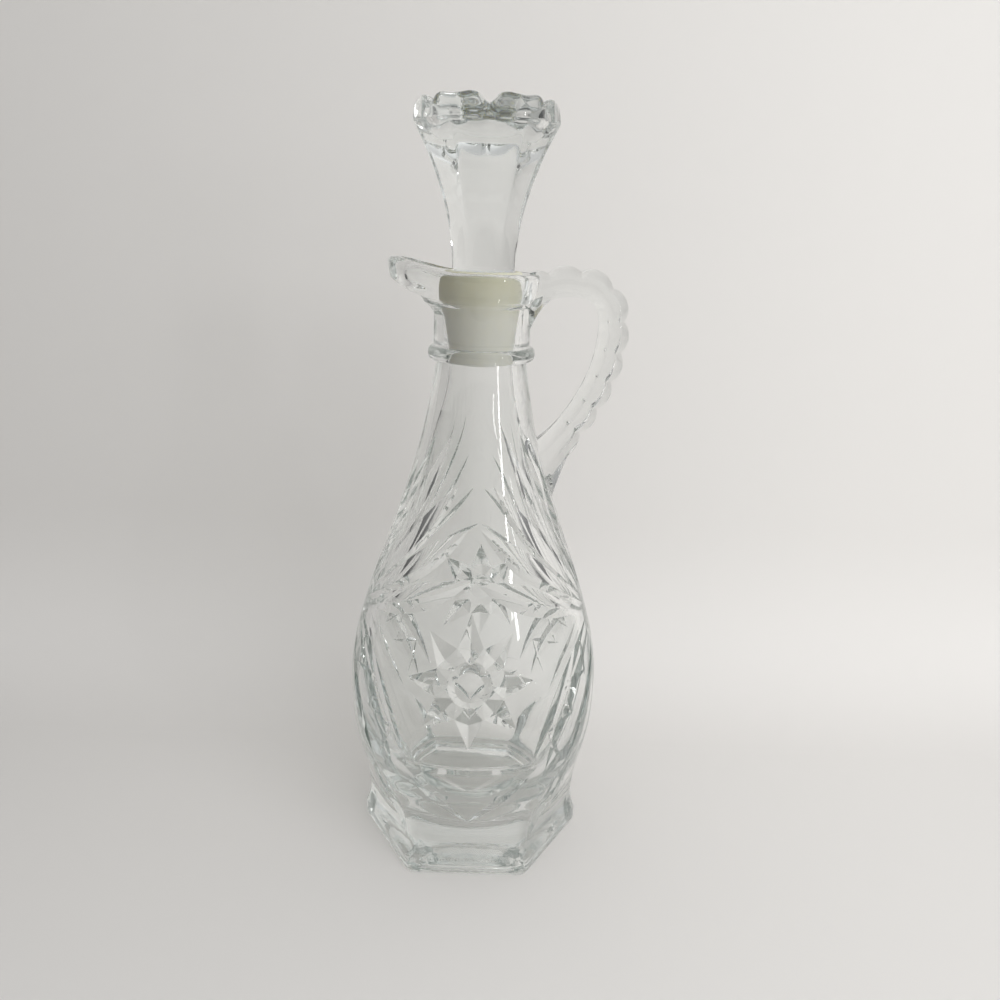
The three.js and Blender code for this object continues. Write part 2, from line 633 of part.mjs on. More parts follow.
// Peg, six-sided trumpet and lobed crown
function glassStopper() {
  const pegTop = SLEEVE_BORE_RADIUS - FIT_GAP;
  const pegBottom = SLEEVE_BOTTOM + SLEEVE_FLOOR_THICKNESS + FIT_GAP;
  const pegEnd = pegTop - PEG_TAPER * (SLEEVE_TOP - pegBottom);
  const seat = point(STEM_RADIUS, STOPPER_SEAT);
  const crownFoot = point(TRUMPET_RADIUS, STOPPER_SEAT + TRUMPET_LENGTH);
  const bandTop = crownFoot.y + CROWN_BAND_HEIGHT;
  const crownTop = bandTop + CROWN_BEVEL_WIDTH;
  const lobeInner = TRUMPET_RADIUS - CROWN_BEVEL_WIDTH - CROWN_TOP_WIDTH;
  const outline = joined(
    [
      point(0, pegBottom),
      point(pegEnd - PEG_EDGE_WIDTH, pegBottom),
      point(pegEnd, pegBottom + PEG_EDGE_WIDTH),
      point(pegTop, SLEEVE_TOP),
      point(pegTop, STOPPER_SEAT),
      seat,
    ],
    bend(
      TRUMPET_STEPS,
      seat,
      point(STEM_RADIUS + TRUMPET_EASE_WIDTH, STOPPER_SEAT + TRUMPET_EASE_LENGTH),
      point(TRUMPET_RADIUS - TRUMPET_FLARE_WIDTH, crownFoot.y - TRUMPET_FLARE_LENGTH),
      crownFoot,
    ),
    [
      crownFoot,
      point(TRUMPET_RADIUS, bandTop),
      point(TRUMPET_RADIUS - CROWN_BEVEL_WIDTH, crownTop),
      point(lobeInner, crownTop),
      point(TRUMPET_RADIUS / 2, crownTop - CROWN_DISH_DEPTH),
      point(0, crownTop - CROWN_DISH_DEPTH),
    ],
  );
  return turned(outline, STOPPER_COLUMNS, (radius, angle, height) => {
    const onTrumpet = smoothstep(height, STOPPER_SEAT, STOPPER_SEAT + TRUMPET_EASE_LENGTH);
    const nearCrown = smoothstep(height, crownFoot.y - TRUMPET_FLARE_LENGTH, crownFoot.y);
    const flat = STOPPER_FLAT * onTrumpet * (1 - nearCrown);
    const sided = radius * (1 - flat * (1 - sideFactor(angle, STOPPER_SIDES)));
    const lobe = lobeShare(angle);
    const onCrown = radius < lobeInner ? 0 : smoothstep(height, crownFoot.y, crownTop);
    const notch = radius < lobeInner ? 0 : LOBE_NOTCH_DEPTH * (1 - lobe) * nearCrown;
    return { radius: sided - notch, height: height + LOBE_HEIGHT * lobe * onCrown };
  });
}

const clearGlass = () =>
  new THREE.MeshStandardMaterial({
    color: 0xdfe4e0,
    roughness: 0.05,
    metalness: 0,
    transparent: true,
    opacity: 0.4,
  });
const milkyPlastic = () =>
  new THREE.MeshStandardMaterial({ color: 0xdad9ce, roughness: 0.45, metalness: 0 });

function named(name, geometry, material) {
  const mesh = new THREE.Mesh(geometry, material);
  mesh.name = name;
  return mesh;
}

const cruet = new THREE.Group();
cruet.add(named("bottle_body", bottleBody(), clearGlass()));
cruet.add(named("handle", handle(), clearGlass()));
cruet.add(named("stopper_sleeve", stopperSleeve(), milkyPlastic()));
const stopper = named("glass_stopper", glassStopper(), clearGlass());
stopper.rotation.z = degToRad(STOPPER_TURN);
cruet.add(stopper);

export default cruet;
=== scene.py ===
"""The looks of a pressed-glass cruet for oil or vinegar: the bottle with its handle, the plastic sleeve
in its mouth and the glass stopper, on a pale paper floor with a paper card behind it.

Metres, +Z up. Angles round the bottle are counted from the front (-Y) towards the handle (+X).
"""

import math

import bmesh
import bpy
import numpy as np
from bpy.props import FloatProperty, FloatVectorProperty, IntProperty, PointerProperty
from mathutils import Euler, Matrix, Quaternion, Vector, kdtree
from mathutils.geometry import delaunay_2d_cdt


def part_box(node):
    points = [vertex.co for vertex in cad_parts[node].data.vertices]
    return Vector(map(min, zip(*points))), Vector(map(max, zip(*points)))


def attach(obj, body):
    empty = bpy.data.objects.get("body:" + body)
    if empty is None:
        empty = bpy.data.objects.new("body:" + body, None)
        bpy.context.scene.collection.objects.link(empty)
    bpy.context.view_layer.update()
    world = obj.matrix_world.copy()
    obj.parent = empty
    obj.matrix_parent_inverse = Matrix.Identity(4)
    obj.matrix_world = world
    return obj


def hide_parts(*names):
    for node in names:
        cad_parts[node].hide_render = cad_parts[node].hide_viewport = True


bl_info = {
    "name": "Pressed-glass cruet",
    "version": (1, 0, 0),
    "blender": (4, 5, 0),
    "location": "View3D > Sidebar > Cruet",
    "description": "Builds a pressed-glass cruet with its stopper around the packed solids",
    "category": "Add Mesh",
}

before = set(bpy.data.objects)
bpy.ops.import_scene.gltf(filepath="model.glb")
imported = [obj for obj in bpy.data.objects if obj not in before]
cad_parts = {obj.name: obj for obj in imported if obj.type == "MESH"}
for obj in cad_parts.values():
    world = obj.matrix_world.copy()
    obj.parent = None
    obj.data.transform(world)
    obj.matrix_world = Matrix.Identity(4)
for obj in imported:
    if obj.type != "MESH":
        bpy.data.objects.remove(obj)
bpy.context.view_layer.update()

MM = 0.001
BODY_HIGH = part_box("bottle_body")[1]
HANDLE_LOW, HANDLE_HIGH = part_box("handle")
SLEEVE_LOW, SLEEVE_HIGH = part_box("stopper_sleeve")
STOPPER_LOW, STOPPER_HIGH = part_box("glass_stopper")
FIT_GAP = 0.3 * MM
PEG_TAPER = 0.06

# Fineness of the meshes
QUARTER_COLUMNS = 60
HOLLOW_COLUMNS = 96
SLEEVE_COLUMNS = 96
STOPPER_COLUMNS = 288
NOTCH_STATIONS = 16
BUTTON_STEPS = 32
CHART_STEP = 1.0 * MM
CHART_SNAP = 0.02  # in millimetres
LINE_STEP = 1.0 * MM
LINE_ROOM = 0.5 * MM
LINE_SLACK = 1e-7
LEAF_STEPS = 4  # the least for half a leaf
TINY = 1e-9
EDGE_SNAP = 0.03 * MM
WELD = 2e-6
SHARP_ANGLE = math.radians(28)

# Outside of the bottle
FOOT_SIDES = 6
FOOT_CORNER = 0.985  # where the foot's corners are rounded off, as a share of the radius
CORNER_SOFTNESS = 0.03
CORNER_LINE = 30 * MM  # how far up the foot's corners keep a line of the mesh
FOOT_RING = 4 * MM
FOOT_HOLLOW = 0.6 * MM
FOOT_FADE = 2 * MM  # height over which the ornament begins
SKIN_STEP = 0.5 * MM
WAIST_EASE = 6 * MM  # how far the waist's upright direction carries up
BELLY_DROP = 20 * MM  # how far the belly's upright direction carries down
BELLY_EASE = 24 * MM  # how far it carries up into the shoulder
NECK_EASE = 40 * MM  # how far the neck's taper carries down into the shoulder
NECK_SPREAD = 5.2 * MM  # what the neck gains in radius on that way
COLLAR_STEP = 0.8 * MM
GROOVE_HEIGHT = 1.0 * MM  # of the groove under the collar
GROOVE_DEPTH = 1.7 * MM
SPOUT_START = 3 * MM  # below the collar
SPOUT_END = 4.6 * MM  # below the rim
SPOUT_SPREAD = math.radians(30)

# Inside of the bottle
FLOOR_ROUND = 9 * MM  # height of the rounding between the wall and the floor
FLOOR_PULL = 1.5 * MM  # how far inside the wall that rounding turns
FLOOR_LEVEL = 0.25  # share of the floor's radius that is level
WALL_WAVES = ((3, 60, 0), (5, -95, 1), (2, 140, 2))  # waves in a round, rise for each metre, shift
WALL_WAVE_DEPTH = 0.14 * MM
WALL_WAVE_START = (12 * MM, 24 * MM)
WALL_WAVE_END = (118 * MM, 128 * MM)

# Handle, in shares of the bar's way from the upper root to the lower one
UPPER_ROOT_START = 9.95 * MM  # from the bottle's axis
LOWER_ROOT_DEPTH = 9 * MM  # below the bottle's skin
WEB_END = 0.1
FLARE_START = 0.72
FILLET_START = 0.8
NOTCH_END = (0.74, 0.84)
NOTCH_SHARPNESS = 1.3
ROOT_CURVE = 2.0  # power with which the roots swell
BAR_SIDES = 8
BAR_EDGE = 0.2  # rounding of the bar's edges, as a share of its half thickness
BAR_EDGE_STEPS = 3

# Sleeve and stopper
SLEEVE_DRAFT = 0.12 * MM  # what the sleeve's bottom is narrower than its neck
SLEEVE_DRAFT_TOP = 0.1 * MM  # the same above the bottom's edge
PEG_EDGE = 0.8 * MM
SEAT_EDGE = 0.3 * MM
TRUMPET_EASE = (0.5 * MM, 15.5 * MM)  # how the stem carries out and up
TRUMPET_FLARE = (2.4 * MM, 4 * MM)  # how the crown's slope carries in and down
FLUTE_START = 14 * MM  # height over which the flutes begin
FLUTE_END = (5 * MM, 1 * MM)  # below and above the crown's foot
FLUTE_LOSS = 0.6  # share of the flutes' depth that is lost there
CROWN_ROLL = 2.4 * MM
CROWN_SWELL = (0.3 * MM, 0.8 * MM)  # how the crown carries out and up
CROWN_DISH = ((2, 0), (2.2, 1.2 * MM), (3.2, 2.0 * MM))  # rolls inside the edge, and depth
DISH_FLOOR = (0.3, 2.4 * MM)  # share of the radius, and depth
DISH_DEPTH = 2.5 * MM
LOBE_REACH = (3.4, 0.4)  # rolls inside the edge where the lobes begin and are full
NOTCH_RISE = (4 * MM, 1 * MM)  # below and above the crown's foot
LOBE_RISE = 0.2 * MM  # above the crown's foot
LOBE_CURVE = ((0, 0.05), (0.14, 0.3), (0.34, 0.88), (0.5, 1.0), (0.78, 0.9), (1, 0.82))

# Surfaces; a wave has its number for each metre and its height, a noise its number and its detail
BOTTLE_WAVE = (70.0, 0.12 * MM)
STOPPER_WAVE = (90.0, 0.06 * MM)
PLASTIC_WAVE = (220.0, 0.1 * MM)
WAVE_DETAIL = 1.0
FILM_NOISE = (400.0, 4.0)
FILM_RANGE = (0.52, 0.72)
CLOUD_NOISE = (25.0, 2.0)
CLOUD_RANGE = (0.3, 0.7)
STIPPLE_NOISE = (700.0, 1.0)
STIPPLE_SHARE = 0.4
STIPPLE_TOP = (0.3 * MM, 1.6 * MM)  # heights where it fades out
GLASS_FILM = 1.0
GLASS_DULL = 0.03
PLASTIC_FILM = 0.8
PLASTIC_DULL = (0.5, 0.62)
PLASTIC_SOAK = (6 * MM, 5.6 * MM, 4.4 * MM)
THICK_FROM = 13 * MM  # below the sleeve's top; from here up the outside turns darker and yellower
THICK_TO = 2 * MM
THICK_SHARE = 0.8
CLOUD_SHARE = 0.4
THIN_TONE = 0.7
PLASTIC_RANGE = (0.1, 0.9)
OUTSIDE = (0.3 * MM, 0.7 * MM)  # from the sleeve's bore outwards, where the light painted inside gives way to the outside's colour
PAPER_DULL = 0.9
PAPER_GLOSS = 0.1
PAPER_NOISE = (3.0, 3.0)
PAPER_CLOUD = 0.1
PAPER_LEFT_PAINTED_SHADE = 0.83  # what is left of the paper's tone on the left: painted shade, darker where the window's light falls off
PAPER_PAINTED_SHADE_TURN = (-0.3, 0.2)  # X over which the painted shade gives way to the paper's full tone
PAPER_RANGE = (0.05, 1.0)

# Stage; ways are azimuth and elevation in degrees, seen from the bottle
FLOOR_DROP = 0.05 * MM
FLOOR_REACH = 1.4
CARD_BACK = 0.1
CARD_CURVE = 0.06
CARD_HEIGHT = 0.45
CARD_HALF_WIDTH = 0.24
LAMP_AIM = Vector((0, 0, 0.09))
WINDOW = {"size": (0.6, 0.6), "way": (36, 30), "distance": 0.8}
SLIT = {"size": (0.05, 0.2), "way": (44, 11), "distance": 1.0}
CEILING = (-0.05, 0.9)  # Z of the way over which the room grows light
CEILING_LIGHT = 0.95
SIDE_LIGHT = 0.1
LOW_LIGHT = 0.25
GLOW_WAY = (40, 28)
GLOW_RANGE = (0.45, 1.0)
GLOW_LIGHT = 0.8
DARK_WAY = (-14, 8)
DARK_RANGE = (0.78, 0.95)
DARK_SHARE = 0.75
CAMERA_PLACE = (0.0059, -0.2334, 0.1665)
CAMERA_DIP = math.radians(16.65)
CAMERA_ROLL = math.radians(1.85)
CAMERA_LENS = 33.12
CAMERA_SENSOR = 36
CAMERA_NEAR = 0.01
GLASS_BOUNCES = 24


def number(name, default, description, **more):
    return FloatProperty(name=name, description=description, default=default, **more)


def length(name, millimetres, description):
    return number(name, millimetres * MM, description, min=0, precision=5, unit="LENGTH")


def count(name, default, description, low):
    return IntProperty(name=name, description=description, default=default, min=low)


def colour(name, default, description):
    return FloatVectorProperty(
        name=name, description=description, default=default, size=3, min=0, max=1, subtype="COLOR"
    )


class BottleSettings(bpy.types.PropertyGroup):
    foot_radius: length("Foot radius", 30.8, "From the axis to a corner of the six-sided foot")
    foot_height: length("Foot height", 4, "Height of the foot's upright band")
    foot_edge: length("Foot edge", 0.8, "Rounding of the foot's lower edge")
    six_sides_height: length("Six sides", 34, "Height over which the six sides turn round")
    waist_radius: length("Waist radius", 29.4, "Radius at the waist above the foot")
    waist_height: length("Waist height", 10, "Height of the waist")
    belly_radius: length("Belly radius", BODY_HIGH.x / MM, "Widest radius of the body")
    belly_height: length("Belly height", 47, "Height of the widest level")
    neck_radius: length("Neck radius", 11.3, "Radius at the top of the neck")
    neck_height: length("Neck height", 133.6, "Height of the neck's top, under the bead")
    bead_radius: length("Bead radius", 13.5, "Radius of the bead round the neck")
    bead_height: length("Bead height", 3.6, "Thickness of the bead")
    mouth_radius: length("Mouth radius", 12.1, "Outer radius between the bead and the collar")
    collar_height: length("Collar height", 148, "Height where the rim begins to flare")
    rim_radius: length("Rim radius", 14.4, "Outer radius of the rim")
    spout_lift: length("Spout lift", 3.2, "How far the pouring lip rises above the rim")
    spout_reach: length("Spout reach", 9, "How far the pouring lip stands out of the rim")
    lip_round: length("Lip rounding", 1.4, "Rounding of the rim's edge")
    wall: length("Wall", 4.4, "Thickness of the glass")
    floor_height: length("Floor height", 9.5, "Thickness of the bottom")
    neck_bore: length("Neck bore", 8, "Inner radius of the neck")
    mouth_bore: length("Mouth bore", 9.95, "Inner radius of the mouth, at the collar")


class OrnamentSettings(bpy.types.PropertyGroup):
    star_height: length("Star height", 59, "Height of the star's centre")
    star_radius: length("Star radius", 17, "From the star's centre to a point")
    star_rays: count("Star rays", 8, "Points of the star", 3)
    star_relief: length("Star relief", 2.4, "How far the rays stand up")
    button_radius: length("Button radius", 5.8, "Radius of the button in the star")
    button_height: length("Button height", 1.6, "How far the button stands up")
    leaf_width: length("Leaf width", 3.4, "Half width of the fan's leaves")
    leaf_depth: length("Leaf depth", 1.8, "Depth of the fan's leaves")
    ribbon_width: length("Ribbon width", 1.8, "Half width of the ribbons' long cuts")
    ribbon_depth: length("Ribbon depth", 1.35, "Depth of the ribbons' long cuts")
    edge_width: length("Edge width", 1.1, "Half width of the cuts round the panel's foot")
    edge_depth: length("Edge depth", 1.3, "Depth of the cuts round the panel's foot")
    scoop_depth: length("Scoop depth", 1.2, "Depth of the scoops above the foot")


class HandleSettings(bpy.types.PropertyGroup):
    reach: length("Reach", 33, "From the bottle's axis to the middle of the bar")
    root_height: length("Root height", 150.5, "Height of the upper root")
    widest_height: length("Widest height", 143, "Height where the bar stands out furthest")
    foot_height: length("Foot height", 101, "Height of the lower root")
    crest: length("Crest", 3.2, "How far the crest stands above the upper root")
    bow: length("Bow", 4.5, "How far the lower run bows out")
    thickness: length("Thickness", 7.6, "Thickness of the bar in its own plane")
    width: length("Width", (HANDLE_HIGH.y - HANDLE_LOW.y) / MM, "Width of the bar across its plane")
    flare: length("Flare", 2.4, "Extra half thickness at the lower root")
    web: length("Web", 6, "How far the web under the upper root reaches down")
    fillet: length("Fillet", 22, "How steeply the lower root runs down the shoulder")
    notches: count("Notches", 11, "Thumb notches along the bar", 1)
    notch_depth: length("Notch depth", 1.5, "Depth of the notches")


class SleeveSettings(bpy.types.PropertyGroup):
    wall: length("Wall", 2.2, "Thickness of the sleeve at its top")
    bottom: length("Bottom", 1.8, "Thickness of the sleeve's bottom")
    edge: length("Edge", 0.7, "Rounding of the sleeve's edges")
    plastic: colour("Plastic", (0.66, 0.655, 0.59), "Colour of the milky plastic")
    # the outside's colour towards the top, darker and yellower
    deep: colour("Deep", (0.52, 0.515, 0.41), "Colour of the plastic where it is thick")
    # painted light: a whiter colour inside the sleeve stands in for the light that comes in through the
    # glass peg
    painted_light_inside: colour("Painted light", (0.93, 0.93, 0.91), "Colour of the plastic inside the sleeve")


class StopperSettings(bpy.types.PropertyGroup):
    stem_radius: length("Stem radius", 7.7, "Radius of the trumpet's foot")
    trumpet_radius: length("Trumpet radius", 17.6, "Radius of the trumpet under the crown")
    trumpet_length: length("Trumpet length", 33.4, "From the seat up to the crown")
    sides: count("Sides", 6, "Flutes of the trumpet", 3)
    flat: number("Flatness", 1.15, "1 for flat flutes, above it for hollow ones")
    corner: number(
        "Corner",
        0.985,
        "Where the corners between the flutes are rounded off, as a share of the radius",
        min=0,
        max=1,
        subtype="FACTOR",
    )
    turned: number("Turn", math.radians(3), "How the stopper happens to be turned", subtype="ANGLE")
    lobe_height: length("Lobe height", 2.5, "Height of the crown's lobes")
    lobe_notch: length("Lobe notch", 0.8, "Depth of the notches between the lobes")


class GlassSettings(bpy.types.PropertyGroup):
    tint: colour("Tint", (0.98, 0.99, 0.983), "Colour of the glass surface where it is dull")
    clear: colour("Clear", (0.995, 0.997, 0.995), "Colour of the glass surface where it is clean")
    depth: colour("Depth", (0.1, 0.24, 0.18), "Colour that light takes on a long way through the glass")
    bottle_density: number("Bottle density", 4.0, "How soon the bottle's glass takes light, per metre")
    stopper_density: number("Stopper density", 5.0, "How soon the stopper's glass takes light, per metre")
    shade: colour("Shade", (0.85, 0.85, 0.845), "How much of the lamps' light one surface lets through")
    refraction: number("IOR", 1.5, "Refraction index of the glass")


class StageSettings(bpy.types.PropertyGroup):
    paper: colour("Paper", (0.78, 0.765, 0.745), "Colour of the paper under and behind the cruet")
    window: number("Window", 3.8, "Light of the window", subtype="POWER")
    slit: number("Slit", 0.5, "Light of the slit beside it", subtype="POWER")
    room: number("Room", 0.49, "Light of the room")


GROUPS = {
    "cruet_bottle": BottleSettings,
    "cruet_ornament": OrnamentSettings,
    "cruet_handle": HandleSettings,
    "cruet_sleeve": SleeveSettings,
    "cruet_stopper": StopperSettings,
    "cruet_glass": GlassSettings,
    "cruet_stage": StageSettings,
}


# Curves and outlines


def bend(start, start_pull, end_pull, end, steps):
    """A curve that leaves its start towards one pull and reaches its end from the other."""
    t = np.linspace(0, 1, steps + 1)[:, None]
    start, start_pull, end_pull, end = map(np.array, (start, start_pull, end_pull, end))
    return (
        (1 - t) ** 3 * start
        + 3 * (1 - t) ** 2 * t * start_pull
        + 3 * (1 - t) * t**2 * end_pull
        + t**3 * end
    )


def arc(start, corner, end, steps):
    """A curve that rounds a corner off."""
    t = np.linspace(0, 1, steps + 1)[:, None]
    start, corner, end = map(np.array, (start, corner, end))
    return (1 - t) ** 2 * start + 2 * (1 - t) * t * corner + t**2 * end


def joined(*stretches):
    """Each stretch starts where the one before it ended, so its first point is left out."""
    return np.vstack([stretches[0], *[np.array(s)[1:] for s in stretches[1:]]])


def smooth(value, low, high):
    """0 below low and 1 above high, with a soft passage."""
    t = np.clip((value - low) / (high - low), 0, 1)
    return t * t * (3 - 2 * t)


def turns(columns):
    """Angles once round the axis."""
    return np.arange(columns) * 2 * np.pi / columns


def on_axis(radius, angle, height):
    """Points round the bottle's axis."""
    places = radius * np.sin(angle), -radius * np.cos(angle), height
    return np.stack(np.broadcast_arrays(*places), axis=-1)


def side_factor(angle, sides):
    """How far a regular polygon's side lies inside its corner circle at an angle, as a factor."""
    step = 2 * np.pi / sides
    off = angle - step * np.round(angle / step)
    return np.cos(step / 2) / np.cos(off)


def rounded_off(factor, limit):
    """Keeps a side's factor under a limit, with a soft passage, so that the corners are round."""
    near = np.maximum(CORNER_SOFTNESS - np.abs(factor - limit), 0) / CORNER_SOFTNESS
    return np.minimum(factor, limit) - near**3 * CORNER_SOFTNESS / 6


class Skin:
    """The bottle's plain outside, without ornament."""

    def __init__(self, bottle):
        self.bottle = b = bottle
        foot = (b.foot_radius, b.foot_height)
        waist = (b.waist_radius, b.waist_height)
        belly = (b.belly_radius, b.belly_height)
        neck = (b.neck_radius, b.neck_height)
        self.outline = joined(
            [(b.foot_radius, b.foot_edge), foot],
            arc(foot, (b.waist_radius, (b.foot_height + b.waist_height) / 2), waist, steps=8),
            bend(
                waist,
                (b.waist_radius, b.waist_height + WAIST_EASE),
                (b.belly_radius, b.belly_height - BELLY_DROP),
                belly,
                steps=24,
            ),
            bend(
                belly,
                (b.belly_radius, b.belly_height + BELLY_EASE),
                (b.neck_radius + NECK_SPREAD, b.neck_height - NECK_EASE),
                neck,
                steps=60,
            ),
        )

    def radius(self, angle, height):
        plain = np.interp(height, self.outline[:, 1], self.outline[:, 0])
        return self.six_sided(plain, angle, height)

    def six_sided(self, radius, angle, height):
        b = self.bottle
        flat = 1 - smooth(height, b.foot_height, b.foot_height + b.six_sides_height)
        return radius * (1 - flat * (1 - rounded_off(side_factor(angle, FOOT_SIDES), FOOT_CORNER)))

    def place(self, angle, height, rise):
        """Points that stand off the skin by rise, square to it."""
        top = self.bottle.neck_height
        above = self.radius(angle, height + SKIN_STEP)
        below = self.radius(angle, height - SKIN_STEP)
        slope = (above - below) / (2 * SKIN_STEP)
        tilt = np.hypot(1, slope)
        edge = smooth(height, 0, FOOT_FADE) * (1 - smooth(height, top - SKIN_STEP, top))
        radius = self.radius(angle, height) + rise * edge / tilt
        return on_axis(radius, angle, height - rise * edge * slope / tilt)


def rim_height(bottle):
    return BODY_HIGH.z - bottle.spout_lift


def spouted(bottle, radius, angle, height):
    """A ring of the mouth, with the pouring lip pulled out and up around -X."""
    off = np.abs(np.arctan2(np.cos(angle), -np.sin(angle)))
    rising = smooth(height, bottle.collar_height - SPOUT_START, rim_height(bottle) - SPOUT_END)
    pull = rising * np.exp(-((off / SPOUT_SPREAD) ** 2))
    return on_axis(radius + bottle.spout_reach * pull, angle, height + bottle.spout_lift * pull)


# Ornament, drawn on a flat chart of a quarter of the body: girth at the belly across, height up


class Leaf:
    """A pointed cut along a path on the chart, widest at a share of its length."""

    def __init__(self, path, half_width, depth, widest=0.5, roundness=1.0):
        self.path = np.array(path, float)
        self.steps = np.diff(self.path, axis=0)
        self.lengths = np.hypot(*self.steps.T)
        self.way = np.concatenate(([0], np.cumsum(self.lengths)))
        self.span = self.way[-1]
        self.half_width = half_width
        self.depth = depth
        self.power = math.log(0.5) / math.log(widest)
        self.roundness = roundness

    def half(self, t):
        """Half the leaf's width at shares of its length."""
        return self.half_width * np.sin(np.pi * np.clip(t, 0, 1) ** self.power)

    def along(self, t):
        """Places on the path and directions along it and across it, at shares of its length."""
        middle = np.stack([np.interp(t * self.span, self.way, axis) for axis in self.path.T], 1)
        slope = np.gradient(middle, axis=0)
        forward = slope / np.hypot(*slope.T)[:, None]
        return middle, forward, np.stack((forward[:, 1], -forward[:, 0]), 1)

    def lines(self):
        """The leaf's middle line and its two edges."""
        t = np.linspace(0, 1, 2 * max(LEAF_STEPS, int(self.span / LINE_STEP / 2)) + 1)
        middle, _, across = self.along(t)
        side = self.half(t)[:, None] * across
        return [middle, middle + side, middle - side]

    def depth_at(self, chart):
        """How deep the cut is at places on the chart."""
        off = np.full(len(chart), np.inf)
        t = np.zeros(len(chart))
        for start, step, reach, way in zip(self.path, self.steps, self.lengths, self.way):
            part = np.clip((chart - start) @ step / reach**2, 0, 1)
            apart = np.hypot(*(chart - start - part[:, None] * step).T)
            t = np.where(apart < off, (way + part * reach) / self.span, t)
            off = np.minimum(apart, off)
        half = np.maximum(self.half(t), TINY)
        near = np.clip(off / half, 0, 1)
        return self.depth * (half / self.half_width) * (1 - near**self.roundness)


